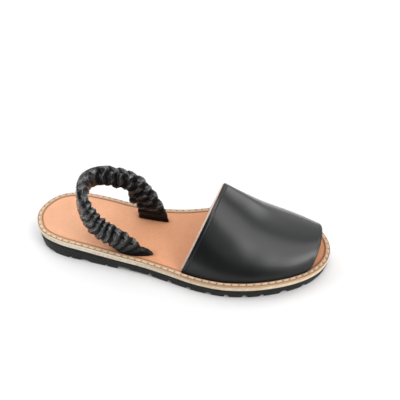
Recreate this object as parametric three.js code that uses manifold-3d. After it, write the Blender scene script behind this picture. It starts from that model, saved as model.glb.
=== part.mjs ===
// A flat open-toe sandal of the Menorcan kind, the right shoe of a pair.
// Millimetres. Toe towards +X, inner side of the foot towards +Y, up +Z.
// The origin lies on the floor, under the middle of the shoe's box.
import * as THREE from 'three';
import { mergeVertices } from 'three/addons/utils/BufferGeometryUtils.js';
import Module from 'manifold-3d';

const wasm = await Module();
wasm.setup();

// Driving dimensions
const SOLE_LENGTH = 255;
const BALL_WIDTH = 96;
const HEEL_HEIGHT = 16;
const EDGE_TUCK = 0.6;
const SHOULDER_TUCK = 0.2;
const SHOULDER_SHARE = 0.67;
const GROOVE_WIDTH = 4.6;
const GROOVE_DEPTH = 2.6;
const GROOVE_CHEVRON = 0.16;
const MIDSOLE_THICKNESS = 3.5;
const MIDSOLE_BEVEL = 0.5;
const WELT_THICKNESS = 1.7;
const WELT_WIDTH = 4.6;
const WELT_BEVEL = 0.4;
const INSOLE_THICKNESS = 1.6;
const INSOLE_GAP = 0.9;
const VAMP_WALL = 1.8;
const VAMP_RISE = 50;
const VAMP_INSET = 3.6;
const VAMP_SINK = 0.5;
const STRAP_WIDTH = 17.5;
const STRAP_THICKNESS = 9;
const STRAP_CROWN = 66.5;
const STRAP_GATHER_PITCH = 5.6;
const STRAP_GATHER_DEPTH = 0.9;
const CLEARANCE = 0.3;

// Fineness of the faceted surfaces
const OUTLINE_STEPS = 44;
const VAMP_STEPS = 18;
const ARCH_STEPS = 26;
const STRAP_SIDES = 12;
const STRAP_STEPS_PER_GATHER = 4;
const STRAP_PATH_SAMPLES = 200;
const OUTLINE_SAMPLES = 200;
const STATION_MERGE_SHARE = 0.33;
const WELD_DISTANCE = 1e-4;

// Small steps either side of a place, in radians and in shares of a path, for its slope
const ANGLE_REACH = 0.01;
const PATH_REACH = 0.004;

// Sole outline: how far it reaches from the centre line on either side, in shares of
// BALL_WIDTH, at shares of SOLE_LENGTH from the heel
const OUTLINE = [
  { at: 0, outer: 0, inner: 0 },
  { at: 0.012, outer: 0.126, inner: 0.138 },
  { at: 0.04, outer: 0.234, inner: 0.241 },
  { at: 0.11, outer: 0.321, inner: 0.317 },
  { at: 0.21, outer: 0.361, inner: 0.313 },
  { at: 0.31, outer: 0.397, inner: 0.276 },
  { at: 0.4, outer: 0.429, inner: 0.26 },
  { at: 0.49, outer: 0.482, inner: 0.28 },
  { at: 0.58, outer: 0.54, inner: 0.345 },
  { at: 0.66, outer: 0.562, inner: 0.412 },
  { at: 0.74, outer: 0.542, inner: 0.448 },
  { at: 0.82, outer: 0.484, inner: 0.432 },
  { at: 0.89, outer: 0.401, inner: 0.374 },
  { at: 0.945, outer: 0.299, inner: 0.286 },
  { at: 0.985, outer: 0.164, inner: 0.16 },
  { at: 1, outer: 0, inner: 0 },
];

// Top of the rubber, in shares of HEEL_HEIGHT above the floor
const RUBBER_TOP = [
  { at: 0, height: 1 },
  { at: 0.12, height: 0.905 },
  { at: 0.25, height: 0.755 },
  { at: 0.38, height: 0.625 },
  { at: 0.52, height: 0.55 },
  { at: 0.78, height: 0.54 },
  { at: 0.9, height: 0.507 },
  { at: 1, height: 0.456 },
];

// Underside of the rubber, in shares of HEEL_HEIGHT above the floor: bevelled heel tip,
// flat heel tread, step and arch at the waist, flat forefoot tread, sprung toe
const UNDERSIDE = [
  { at: 0, height: 0.08 },
  { at: 0.05, height: 0.09 },
  { at: 0.074, height: 0.1 },
  { at: 0.084, height: 0 },
  { at: 0.31, height: 0 },
  { at: 0.316, height: 0.2 },
  { at: 0.352, height: 0.185 },
  { at: 0.362, height: 0.1 },
  { at: 0.42, height: 0.06 },
  { at: 0.47, height: 0 },
  { at: 0.87, height: 0 },
  { at: 0.94, height: 0.02 },
  { at: 1, height: 0.12 },
];

// Tread grooves that run out at the side: place in shares of SOLE_LENGTH, width in
// shares of GROOVE_WIDTH, depth in shares of GROOVE_DEPTH
const GROOVES = [
  { at: 0.143, width: 0.75, depth: 0.55 },
  { at: 0.196, width: 2.1, depth: 0.6 },
  { at: 0.272, width: 0.7, depth: 0.5 },
  { at: 0.425, width: 0.9, depth: 1.1 },
  { at: 0.492, width: 1, depth: 0.9 },
  { at: 0.556, width: 1, depth: 0.9 },
  { at: 0.621, width: 1.2, depth: 0.85 },
  { at: 0.679, width: 1, depth: 1 },
  { at: 0.736, width: 1, depth: 1 },
  { at: 0.789, width: 0.8, depth: 0.8 },
  { at: 0.856, width: 1.5, depth: 0.8 },
  { at: 0.918, width: 0.8, depth: 0.7 },
];
const GROOVE_TOP_SHARE = 0.45;

// Vamp, from the throat to the toe opening: where its two lower edges stand and how far
// the crest leans forward in shares of SOLE_LENGTH, where the crest lies between the
// edges, and its rise in shares of VAMP_RISE
const VAMP = [
  { at: 0, outer: 0.531, inner: 0.582, crest: 0.73, lean: 0.069, rise: 1 },
  { at: 0.5, outer: 0.728, inner: 0.765, crest: 0.6, lean: 0.041, rise: 0.565 },
  { at: 1, outer: 0.93, inner: 0.94, crest: 0.53, lean: 0.026, rise: 0.41 },
];
const OUTER_FLANK = 1.2;
const INNER_FLANK = 1.5;

// Path of the back strap, from its outer slit round the heel to its inner slit: place in
// shares of SOLE_LENGTH, BALL_WIDTH and STRAP_CROWN, and the way its face looks in degrees
const STRAP_PATH = [
  { at: 0, along: 0.39, across: -0.333, up: 0.213, face: -77 },
  { at: 0.055, along: 0.359, across: -0.323, up: 0.298, face: -82 },
  { at: 0.152, along: 0.312, across: -0.317, up: 0.456, face: -96 },
  { at: 0.242, along: 0.26, across: -0.305, up: 0.587, face: -106 },
  { at: 0.337, along: 0.22, across: -0.255, up: 0.766, face: -125 },
  { at: 0.427, along: 0.204, across: -0.177, up: 0.921, face: -155 },
  { at: 0.504, along: 0.207, across: -0.062, up: 1, face: -185 },
  { at: 0.576, along: 0.242, across: 0.034, up: 0.995, face: -215 },
  { at: 0.657, along: 0.289, across: 0.093, up: 0.914, face: -240 },
  { at: 0.737, along: 0.332, across: 0.127, up: 0.805, face: -250 },
  { at: 0.819, along: 0.36, across: 0.14, up: 0.64, face: -258 },
  { at: 0.895, along: 0.382, across: 0.129, up: 0.473, face: -265 },
  { at: 0.96, along: 0.393, across: 0.117, up: 0.317, face: -270 },
  { at: 1, along: 0.396, across: 0.114, up: 0.214, face: -273 },
];

// Section of the strap along that path: width and thickness in shares of STRAP_WIDTH and
// STRAP_THICKNESS, how far it lies level as in its slits, and how much it is gathered
const STRAP_SECTION = [
  { at: 0, width: 1.14, thick: 0.36, level: 1, gather: 0 },
  { at: 0.055, width: 1.08, thick: 0.66, level: 0.6, gather: 0.3 },
  { at: 0.152, width: 1.08, thick: 0.95, level: 0, gather: 1 },
  { at: 0.242, width: 1.15, thick: 1, level: 0, gather: 1 },
  { at: 0.337, width: 1.1, thick: 1, level: 0, gather: 1 },
  { at: 0.427, width: 1.02, thick: 1, level: 0, gather: 1 },
  { at: 0.504, width: 0.97, thick: 1, level: 0, gather: 1 },
  { at: 0.62, width: 0.93, thick: 1, level: 0, gather: 1 },
  { at: 0.737, width: 1, thick: 1, level: 0, gather: 1 },
  { at: 0.819, width: 1.06, thick: 0.95, level: 0, gather: 1 },
  { at: 0.895, width: 1.2, thick: 0.8, level: 0.2, gather: 0.8 },
  { at: 0.96, width: 1.42, thick: 0.52, level: 0.8, gather: 0.3 },
  { at: 1, width: 1.51, thick: 0.36, level: 1, gather: 0 },
];

// Smooth reader of a table: a cubic through the rows, straight on beyond the ends
function smooth(rows, knotOf = (row) => row.at) {
  const columns = Object.keys(rows[0]).filter((column) => column !== 'at');
  const knots = rows.map(knotOf);
  const last = rows.length - 1;
  const chord = (i, column) => (rows[i + 1][column] - rows[i][column]) / (knots[i + 1] - knots[i]);
  const slope = (i, column) => {
    if (i === 0) return 2 * chord(0, column) - slope(1, column);
    if (i === last) return 2 * chord(last - 1, column) - slope(last - 1, column);
    const before = knots[i] - knots[i - 1];
    const after = knots[i + 1] - knots[i];
    return (chord(i - 1, column) * after + chord(i, column) * before) / (before + after);
  };
  return (u) => {
    const value = {};
    const beyond = knots.findIndex((knot) => knot > u);
    const i = beyond < 0 ? last - 1 : Math.max(beyond - 1, 0);
    const step = knots[i + 1] - knots[i];
    const s = THREE.MathUtils.clamp((u - knots[i]) / step, 0, 1);
    const outside = u - THREE.MathUtils.clamp(u, knots[0], knots[last]);
    for (const column of columns) {
      const start = slope(i, column);
      const end = slope(i + 1, column);
      const rise = rows[i + 1][column] - rows[i][column];
      const bend = s * (1 - s) * ((start * step - rise) * (1 - s) - (end * step - rise) * s);
      value[column] = rows[i][column] + rise * s + bend + outside * (outside < 0 ? start : end);
    }
    return value;
  };
}

// Straight reader of one column of a table
function straight(rows, column) {
  return (u) => {
    const beyond = rows.findIndex((row) => row.at > u);
    const i = beyond < 0 ? rows.length - 2 : Math.max(beyond - 1, 0);
    const s = THREE.MathUtils.clamp((u - rows[i].at) / (rows[i + 1].at - rows[i].at), 0, 1);
    return rows[i][column] + s * (rows[i + 1][column] - rows[i][column]);
  };
}

// The outline is read against an angle that opens both tips out into round ends
const turnOf = (share) => Math.acos(1 - 2 * share);
const halfWidths = smooth(OUTLINE, (row) => turnOf(row.at));
const rubberTop = smooth(RUBBER_TOP);
const underside = straight(UNDERSIDE, 'height');

// Heights of the stack at a distance x from the heel tip
const rubberTopAt = (x) => HEEL_HEIGHT * rubberTop(x / SOLE_LENGTH).height;
const midsoleBottomAt = (x) => rubberTopAt(x) + CLEARANCE;
const midsoleTopAt = (x) => midsoleBottomAt(x) + MIDSOLE_THICKNESS;
const seatAt = (x) => midsoleTopAt(x) + CLEARANCE;
const weltTopAt = (x) => seatAt(x) + WELT_THICKNESS;

// Point of the outline at an angle: 0 at the heel tip, a half turn at the toe tip,
// out along the outer side and back along the inner side
function outlineAt(angle) {
  const full = 2 * Math.PI;
  const turn = ((angle % full) + full) % full;
  const outerSide = turn <= Math.PI;
  const folded = outerSide ? turn : full - turn;
  const half = halfWidths(folded);
  return new THREE.Vector2(
    SOLE_LENGTH * (1 - Math.cos(folded)) / 2,
    BALL_WIDTH * (outerSide ? -half.outer : half.inner),
  );
}

// The same point moved inwards, square to the outline
function insetAt(angle, inset) {
  const after = outlineAt(angle + ANGLE_REACH);
  const tangent = after.sub(outlineAt(angle - ANGLE_REACH)).normalize();
  return outlineAt(angle).add(new THREE.Vector2(-tangent.y, tangent.x).multiplyScalar(inset));
}

// Sideways place of the inset outline straight beside a distance x from the heel tip
function sideAt(x, side, inset) {
  const angle = turnOf(x / SOLE_LENGTH);
  const turned = side < 0 ? angle : -angle;
  const before = outlineAt(turned - ANGLE_REACH);
  const after = outlineAt(turned + ANGLE_REACH);
  const slope = (after.y - before.y) / (after.x - before.x);
  return outlineAt(turned).y - side * inset * Math.hypot(1, slope);
}

// Closed solid from vertices and triangles
function solidOf(vertices, triangles) {
  const mesh = new wasm.Mesh({
    numProp: 3,
    vertProperties: new Float32Array(vertices.flatMap((v) => [v.x, v.y, v.z])),
    triVerts: new Uint32Array(triangles.flat()),
  });
  return new wasm.Manifold(mesh);
}

// Closed solid from a three.js geometry
function solidFrom(geometry) {
  const bare = geometry.clone();
  bare.deleteAttribute('normal');
  bare.deleteAttribute('uv');
  const merged = mergeVertices(bare, WELD_DISTANCE);
  return new wasm.Manifold(new wasm.Mesh({
    numProp: 3,
    vertProperties: new Float32Array(merged.attributes.position.array),
    triVerts: new Uint32Array(merged.index.array),
  }));
}

// Stations along the sole: even steps of the outline's angle, with every break of the
// underside among them
const stations = (() => {
  const even = Array.from({ length: OUTLINE_STEPS + 1 }, (_, i) => Math.PI * i / OUTLINE_STEPS);
  const breaks = UNDERSIDE.map((row) => turnOf(row.at));
  const near = STATION_MERGE_SHARE * Math.PI / OUTLINE_STEPS;
  const kept = even.filter((angle) => breaks.every((b) => Math.abs(b - angle) > near));
  return [...kept, ...breaks].sort((a, b) => a - b);
})();

// Flat layer of the sole. Each level, from the bottom up, has an inset from the outline
// and a height worked out from the distance along the sole and the station's share.
function layer(levels) {
  const back = stations.slice(1, -1).reverse();
  const ring = [...stations, ...back.map((angle) => -angle)];
  const shares = [...stations, ...back].map((angle) => (1 - Math.cos(angle)) / 2);
  const size = ring.length;
  const vertices = levels.flatMap(({ inset, height }) => ring.map((angle, j) => {
    const point = insetAt(angle, inset);
    return new THREE.Vector3(point.x, point.y, height(point.x, shares[j]));
  }));
  const triangles = [];
  for (let level = 0; level < levels.length - 1; level += 1) {
    for (let j = 0; j < size; j += 1) {
      const a = level * size + j;
      const b = level * size + (j + 1) % size;
      triangles.push([a, b, b + size], [a, b + size, a + size]);
    }
  }
  const top = (levels.length - 1) * size;
  for (let k = 0; k < stations.length - 1; k += 1) {
    const outer = k;
    const inner = (size - k) % size;
    const nextInner = size - k - 1;
    if (k < stations.length - 2) {
      triangles.push([top + outer, top + outer + 1, top + nextInner]);
      triangles.push([outer, nextInner, outer + 1]);
    }
    if (k > 0) {
      triangles.push([top + outer, top + nextInner, top + inner]);
      triangles.push([outer, inner, nextInner]);
    }
  }
  return solidOf(vertices, triangles);
}

// Cutter for one tread groove: a tapered bar across the sole, bent to a chevron whose
// ends meet the side at the groove's own place
function groove(row) {
  const width = row.width * GROOVE_WIDTH;
  const depth = row.depth * GROOVE_DEPTH;
  const floor = HEEL_HEIGHT * underside(row.at);
  const below = HEEL_HEIGHT;
  const reach = 2 * BALL_WIDTH;
  const section = new THREE.Shape([
    new THREE.Vector2(-width / 2, -below),
    new THREE.Vector2(width / 2, -below),
    new THREE.Vector2(width / 2, floor),
    new THREE.Vector2(width * GROOVE_TOP_SHARE / 2, floor + depth),
    new THREE.Vector2(-width * GROOVE_TOP_SHARE / 2, floor + depth),
    new THREE.Vector2(-width / 2, floor),
  ]);
  const bar = new THREE.ExtrudeGeometry(section, { depth: reach, steps: 2, bevelEnabled: false });
  bar.rotateX(Math.PI / 2);
  bar.translate(row.at * SOLE_LENGTH, reach / 2, 0);
  const half = halfWidths(turnOf(row.at)).outer * BALL_WIDTH;
  const position = bar.attributes.position;
  for (let i = 0; i < position.count; i += 1) {
    const shift = GROOVE_CHEVRON * (half - Math.abs(position.getY(i)));
    position.setX(i, position.getX(i) + shift);
  }
  return solidFrom(bar);
}

function outsole() {
  const bottom = (_, share) => HEEL_HEIGHT * underside(share);
  const shoulder = (x, share) => THREE.MathUtils.lerp(bottom(x, share), rubberTopAt(x), SHOULDER_SHARE);
  const body = layer([
    { inset: EDGE_TUCK, height: bottom },
    { inset: SHOULDER_TUCK, height: shoulder },
    { inset: SHOULDER_TUCK, height: rubberTopAt },
  ]);
  return GROOVES.reduce((rubber, row) => rubber.subtract(groove(row)), body);
}

function midsole() {
  return layer([
    { inset: 0, height: midsoleBottomAt },
    { inset: 0, height: (x) => midsoleTopAt(x) - MIDSOLE_BEVEL },
    { inset: MIDSOLE_BEVEL / 2, height: midsoleTopAt },
  ]);
}

// Vamp wall between two offsets from its outer face. Extra length at both ends, in mm,
// makes the cutter that clears its neighbours.
function vampWall(outward, inward, extra) {
  const readVamp = smooth(VAMP);
  const length = SOLE_LENGTH * (VAMP[VAMP.length - 1].outer - VAMP[0].outer);
  const over = extra / length;
  const faceAt = (t, phi) => {
    const row = readVamp(t);
    const foot = (share, side) => {
      const x = share * SOLE_LENGTH;
      return new THREE.Vector3(x, sideAt(x, side, VAMP_INSET), weltTopAt(x) - VAMP_SINK);
    };
    const outer = foot(row.outer, -1);
    const inner = foot(row.inner, 1);
    const middle = outer.clone().lerp(inner, row.crest);
    const outerHalf = phi < Math.PI / 2;
    const spread = Math.abs(Math.cos(phi));
    const lift = Math.pow(Math.max(Math.sin(phi), 0), outerHalf ? OUTER_FLANK : INNER_FLANK);
    const crest = new THREE.Vector3(row.lean * SOLE_LENGTH, 0, row.rise * VAMP_RISE);
    return middle.clone().lerp(outerHalf ? outer : inner, spread).addScaledVector(crest, lift);
  };
  const normalAt = (t, phi) => {
    const low = Math.max(phi - ANGLE_REACH, 0);
    const high = Math.min(phi + ANGLE_REACH, Math.PI);
    const along = faceAt(t + PATH_REACH, phi).sub(faceAt(t - PATH_REACH, phi));
    const around = faceAt(t, high).sub(faceAt(t, low));
    return along.cross(around).normalize();
  };
  const span = 1 + 2 * over;
  const rows = Array.from({ length: VAMP_STEPS + 1 }, (_, i) => span * i / VAMP_STEPS - over);
  const arcs = Array.from({ length: ARCH_STEPS + 1 }, (_, i) => Math.PI * i / ARCH_STEPS);
  const loopSize = 2 * (arcs.length + 2);
  const skirt = (point, drop) => new THREE.Vector3(point.x, point.y, seatAt(point.x) - drop);
  const vertices = rows.flatMap((t) => {
    const drop = extra > 0 ? CLEARANCE : 0;
    const offset = (distance) => arcs.map((phi) => (
      faceAt(t, phi).addScaledVector(normalAt(t, phi), distance)
    ));
    const outside = offset(outward);
    const inside = offset(-inward).reverse();
    const wrap = (face) => [skirt(face[0], drop), ...face, skirt(face[face.length - 1], drop)];
    return [...wrap(outside), ...wrap(inside)];
  });
  const triangles = [];
  for (let i = 0; i < rows.length - 1; i += 1) {
    for (let j = 0; j < loopSize; j += 1) {
      const a = i * loopSize + j;
      const b = i * loopSize + (j + 1) % loopSize;
      triangles.push([a, b + loopSize, b], [a, a + loopSize, b + loopSize]);
    }
  }
  const end = (rows.length - 1) * loopSize;
  for (let j = 0; j < loopSize / 2 - 1; j += 1) {
    const across = loopSize - 1 - j;
    triangles.push([j, j + 1, across - 1], [j, across - 1, across]);
    triangles.push([end + j, end + across - 1, end + j + 1]);
    triangles.push([end + j, end + across, end + across - 1]);
  }
  return solidOf(vertices, triangles);
}

const vamp = () => vampWall(0, VAMP_WALL, 0);
const vampRoom = () => vampWall(CLEARANCE, VAMP_WALL + CLEARANCE, CLEARANCE);

// Strap solid, swollen by an allowance when it serves as the cutter of its slits
function strapWith(allowance) {
  const readPath = smooth(STRAP_PATH);
  const readSection = smooth(STRAP_SECTION);
  const centreAt = (u) => {
    const row = readPath(u);
    return new THREE.Vector3(row.along * SOLE_LENGTH, row.across * BALL_WIDTH, row.up * STRAP_CROWN);
  };
  const path = Array.from({ length: STRAP_PATH_SAMPLES + 1 }, (_, i) => centreAt(i / STRAP_PATH_SAMPLES));
  const length = path.slice(1).reduce((sum, point, i) => sum + point.distanceTo(path[i]), 0);
  const steps = Math.round(length / STRAP_GATHER_PITCH) * STRAP_STEPS_PER_GATHER;
  const sections = Array.from({ length: steps + 1 }, (_, i) => {
    const u = i / steps;
    const row = readSection(u);
    const centre = centreAt(u);
    const tangent = centreAt(u + PATH_REACH).sub(centreAt(u - PATH_REACH)).normalize();
    const facing = THREE.MathUtils.degToRad(readPath(u).face);
    const face = new THREE.Vector3(Math.cos(facing), Math.sin(facing), 0);
    const upright = face.clone().cross(tangent).normalize();
    const flat = new THREE.Vector3(-face.y, face.x, 0);
    if (flat.dot(upright) < 0) flat.negate();
    const across = upright.clone().lerp(flat, row.level).normalize();
    const square = face.clone().addScaledVector(across, -face.dot(across)).normalize();
    const halfWidth = row.width * STRAP_WIDTH / 2 + allowance;
    const halfThick = row.thick * STRAP_THICKNESS / 2 + allowance;
    const isEnd = i === 0 || i === steps;
    return Array.from({ length: STRAP_SIDES }, (_, j) => {
      const angle = 2 * Math.PI * (j + 0.5) / STRAP_SIDES;
      const phase = 2 * Math.PI * i / STRAP_STEPS_PER_GATHER + Math.cos(angle) * Math.PI / 2;
      const swell = row.gather * STRAP_GATHER_DEPTH * Math.sin(phase);
      const point = centre.clone()
        .addScaledVector(across, Math.cos(angle) * (halfWidth + swell / 2))
        .addScaledVector(square, Math.sin(angle) * (halfThick + swell));
      if (isEnd) point.z = seatAt(point.x) - (allowance > 0 ? CLEARANCE : 0);
      return point;
    });
  });
  const triangles = [];
  for (let i = 0; i < steps; i += 1) {
    for (let j = 0; j < STRAP_SIDES; j += 1) {
      const a = i * STRAP_SIDES + j;
      const b = i * STRAP_SIDES + (j + 1) % STRAP_SIDES;
      triangles.push([a, b, b + STRAP_SIDES], [a, b + STRAP_SIDES, a + STRAP_SIDES]);
    }
  }
  const end = steps * STRAP_SIDES;
  for (let j = 1; j < STRAP_SIDES - 1; j += 1) {
    triangles.push([0, j + 1, j], [end, end + j, end + j + 1]);
  }
  return solidOf(sections.flat(), triangles);
}

const backStrap = () => strapWith(0);
const strapRoom = () => strapWith(CLEARANCE);

// Stitched rim laid round the insole and the vamp
function welt() {
  const plate = layer([
    { inset: 0, height: seatAt },
    { inset: 0, height: (x) => weltTopAt(x) - WELT_BEVEL },
    { inset: WELT_BEVEL, height: weltTopAt },
  ]);
  const hole = layer([
    { inset: WELT_WIDTH, height: rubberTopAt },
    { inset: WELT_WIDTH, height: (x) => weltTopAt(x) + WELT_THICKNESS },
  ]);
  return plate.subtract(hole).subtract(vampRoom());
}

// Footbed inside the rim, clear of the vamp's lower edges and slit for the strap
function insole() {
  const inset = WELT_WIDTH + INSOLE_GAP;
  const bed = layer([
    { inset, height: seatAt },
    { inset, height: (x) => seatAt(x) + INSOLE_THICKNESS },
  ]);
  return bed.subtract(vampRoom()).subtract(strapRoom());
}

// Named mesh with its own material
function piece(name, solid, colour, roughness) {
  const { vertProperties, triVerts } = solid.getMesh();
  const geometry = new THREE.BufferGeometry();
  geometry.setAttribute('position', new THREE.BufferAttribute(new Float32Array(vertProperties), 3));
  geometry.setIndex(new THREE.BufferAttribute(new Uint32Array(triVerts), 1));
  const material = new THREE.MeshStandardMaterial({ color: colour, roughness, metalness: 0 });
  const mesh = new THREE.Mesh(geometry, material);
  mesh.name = name;
  return mesh;
}

const sandal = new THREE.Group();
sandal.add(
  piece('outsole', outsole(), 0x23241f, 0.8),
  piece('midsole', midsole(), 0xe6cfae, 0.7),
  piece('welt', welt(), 0xd3b28c, 0.65),
  piece('insole', insole(), 0xe8ab84, 0.6),
  piece('vamp', vamp(), 0x222325, 0.42),
  piece('back_strap', backStrap(), 0x26272a, 0.45),
);

// The box of the sole's outline is centred on the origin
const reachOf = (side) => {
  const angles = Array.from({ length: OUTLINE_SAMPLES + 1 }, (_, i) => Math.PI * i / OUTLINE_SAMPLES);
  return BALL_WIDTH * Math.max(...angles.map((angle) => halfWidths(angle)[side]));
};
sandal.position.set(-SOLE_LENGTH / 2, (reachOf('outer') - reachOf('inner')) / 2, 0);

export default sandal;
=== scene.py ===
"""Flat open-toe sandal with a gathered back strap, the right shoe, dressed over its solids.

Metres. Toe towards +X, inner side of the foot towards +Y, up +Z, origin on the floor under
the middle of the shoe. Every piece is a surface worked out with numpy from the same named
sizes and tables of shares as the solids.
"""

import bmesh
import bpy
import numpy as np
from bpy.props import FloatProperty, FloatVectorProperty, PointerProperty
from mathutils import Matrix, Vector


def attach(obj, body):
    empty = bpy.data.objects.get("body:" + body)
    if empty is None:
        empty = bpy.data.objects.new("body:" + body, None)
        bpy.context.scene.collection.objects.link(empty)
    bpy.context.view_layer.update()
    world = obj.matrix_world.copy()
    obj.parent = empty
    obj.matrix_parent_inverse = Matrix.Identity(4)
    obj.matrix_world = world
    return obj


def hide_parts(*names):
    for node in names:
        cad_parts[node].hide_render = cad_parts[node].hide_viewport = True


bl_info = {
    "name": "Open-toe sandal",
    "version": (1, 0, 0),
    "blender": (4, 5, 0),
    "location": "View3D > Sidebar > Sandal",
    "description": "Dresses the solids of a flat sandal with leather, stitching and rubber",
    "category": "Object",
}

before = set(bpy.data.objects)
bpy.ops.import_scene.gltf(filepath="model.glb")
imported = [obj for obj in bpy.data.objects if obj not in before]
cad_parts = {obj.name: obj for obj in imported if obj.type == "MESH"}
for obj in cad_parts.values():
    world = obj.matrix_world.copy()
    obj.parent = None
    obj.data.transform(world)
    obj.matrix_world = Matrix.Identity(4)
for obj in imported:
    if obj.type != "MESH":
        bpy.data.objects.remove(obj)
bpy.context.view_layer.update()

MM = 0.001

# Sizes shared with the solids
SOLE_LENGTH = 255 * MM
BALL_WIDTH = 96 * MM
HEEL_HEIGHT = 16 * MM
EDGE_TUCK = 0.6 * MM
CLEARANCE = 0.3 * MM
GROOVE_WIDTH = 4.6 * MM
GROOVE_DEPTH = 2.6 * MM
GROOVE_CHEVRON = 0.16
GROOVE_TOP_SHARE = 0.45
MIDSOLE_THICKNESS = 3.5 * MM
WELT_THICKNESS = 1.7 * MM
INSOLE_THICKNESS = 1.6 * MM
VAMP_WALL = 1.8 * MM
VAMP_RISE = 50 * MM
VAMP_INSET = 3.6 * MM
VAMP_SINK = 0.5 * MM
OUTER_FLANK = 1.2
INNER_FLANK = 1.5
STRAP_WIDTH = 17.5 * MM
STRAP_THICKNESS = 9 * MM
STRAP_CROWN = 66.5 * MM

# Sizes of what is drawn finer than the solids
RIM_WIDTH = 4.2 * MM
STITCH_INSET = 1.75 * MM
STITCH_SPACING = 2.6 * MM
RIB_PITCH = 1.8 * MM
TOUCH = 0.04 * MM

# Small steps either side of a place, in radians and in shares of a path, for its slope
ANGLE_REACH = 0.01
PATH_REACH = 0.004

# Least step between an even angle round the sole and one that is asked for, in radians
STATION_GAP = 0.004

# Reach of a sunk slit, and the dent of the heel: place in shares of SOLE_LENGTH, then
# reach along the sole, reach across it and depth
SLIT_REACH = 2.6 * MM
HEEL_DENT = (0.14, 0.1, 22 * MM, 0.35 * MM)


def table(columns, rows):
    """Table of numbers as named columns."""
    return dict(zip(columns.split(), np.array(rows, float).T))


# Reach of the outline to either side, in shares of BALL_WIDTH, at shares of SOLE_LENGTH
OUTLINE = table("at outer inner", [
    (0, 0, 0), (0.012, 0.126, 0.138), (0.04, 0.234, 0.241), (0.11, 0.321, 0.317),
    (0.21, 0.361, 0.313), (0.31, 0.397, 0.276), (0.4, 0.429, 0.26), (0.49, 0.482, 0.28),
    (0.58, 0.54, 0.345), (0.66, 0.562, 0.412), (0.74, 0.542, 0.448), (0.82, 0.484, 0.432),
    (0.89, 0.401, 0.374), (0.945, 0.299, 0.286), (0.985, 0.164, 0.16), (1, 0, 0),
])

# Top and underside of the rubber, in shares of HEEL_HEIGHT above the floor
RUBBER_TOP = table("at height", [
    (0, 1), (0.12, 0.905), (0.25, 0.755), (0.38, 0.625), (0.52, 0.55), (0.78, 0.54),
    (0.9, 0.507), (1, 0.456),
])
UNDERSIDE = table("at height", [
    (0, 0.08), (0.05, 0.09), (0.074, 0.1), (0.084, 0), (0.31, 0), (0.316, 0.2),
    (0.352, 0.185), (0.362, 0.1), (0.42, 0.06), (0.47, 0), (0.87, 0), (0.94, 0.02), (1, 0.12),
])

# Tread grooves that run out at the side: place in shares of SOLE_LENGTH, width and depth
# in shares of GROOVE_WIDTH and GROOVE_DEPTH
GROOVES = table("at width depth", [
    (0.143, 0.75, 0.55), (0.196, 2.1, 0.6), (0.272, 0.7, 0.5), (0.425, 0.9, 1.1),
    (0.492, 1, 0.9), (0.556, 1, 0.9), (0.621, 1.2, 0.85), (0.679, 1, 1), (0.736, 1, 1),
    (0.789, 0.8, 0.8), (0.856, 1.5, 0.8), (0.918, 0.8, 0.7),
])

# Vamp from the throat to the toe opening: places of its lower edges and lean of its crest
# in shares of SOLE_LENGTH, crest between the edges, rise in shares of VAMP_RISE
VAMP = table("at outer inner crest lean rise", [
    (0, 0.531, 0.582, 0.73, 0.069, 1), (0.25, 0.6325, 0.674, 0.665, 0.0545, 0.768),
    (0.5, 0.728, 0.765, 0.6, 0.041, 0.562), (0.75, 0.8265, 0.8525, 0.5625, 0.0331, 0.432),
    (1, 0.93, 0.94, 0.53, 0.026, 0.385),
])

# Path of the strap from its outer to its inner slit, in shares of SOLE_LENGTH, BALL_WIDTH
# and STRAP_CROWN, and the way its face looks in degrees
STRAP_PATH = table("at along across up face", [
    (0, 0.39, -0.333, 0.213, -77), (0.055, 0.359, -0.323, 0.298, -82),
    (0.152, 0.312, -0.317, 0.456, -96), (0.242, 0.26, -0.305, 0.587, -106),
    (0.337, 0.22, -0.255, 0.766, -125), (0.427, 0.204, -0.177, 0.921, -155),
    (0.504, 0.207, -0.062, 1, -185), (0.576, 0.242, 0.034, 0.995, -215),
    (0.657, 0.289, 0.093, 0.914, -240), (0.737, 0.332, 0.127, 0.805, -250),
    (0.819, 0.36, 0.14, 0.64, -258), (0.895, 0.382, 0.129, 0.473, -265),
    (0.96, 0.393, 0.117, 0.317, -270), (1, 0.396, 0.114, 0.214, -273),
])

# Strap section along that path: width and thickness in shares of the strap's own, how far
# it lies level, and how much it is gathered
STRAP_SECTION = table("at width thick level gather", [
    (0, 1.14, 0.36, 1, 0), (0.055, 1.08, 0.66, 0.6, 0.3), (0.152, 1.08, 0.95, 0, 1),
    (0.242, 1.15, 1, 0, 1), (0.337, 1.1, 1, 0, 1), (0.427, 1.02, 1, 0, 1),
    (0.504, 0.97, 1, 0, 1), (0.62, 0.93, 1, 0, 1), (0.737, 1, 1, 0, 1),
    (0.819, 1.06, 0.95, 0, 1), (0.895, 1.2, 0.8, 0.2, 0.8), (0.96, 1.42, 0.52, 0.8, 0.3),
    (1, 1.51, 0.36, 1, 0),
])

# Families of folds on the strap: length in gather pitches, lean in gather slants, seed of
# its draws and number of waves
RUFFLES = (1.0, 1.0, 21, 4)
LUMPS = (1.8, 0.7, 23, 4)
CREASES = (0.42, 1.8, 11, 7)

# How high each family and the pleats at the slits stand, in gather depths, and the pleats'
# pitch in millimetres
RUFFLE_RISE, LUMP_RISE, CREASE_RISE, PLEAT_RISE = 0.95, 0.34, 0.34, 0.22
PLEAT_PITCH = 2.7

# Scatter of the folds' lengths about their pitch, and the mean size of summed unit waves
# over the root of their number
FOLD_SCATTER = (0.78, 1.3)
MEAN_SUM = 0.886

# Zones along the strap in millimetres from its outer slit: start, full, fading, end
HEEL_ZONE = (46, 62, 94, 112)
BACK_ZONE = (58, 70, 84, 98)

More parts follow.
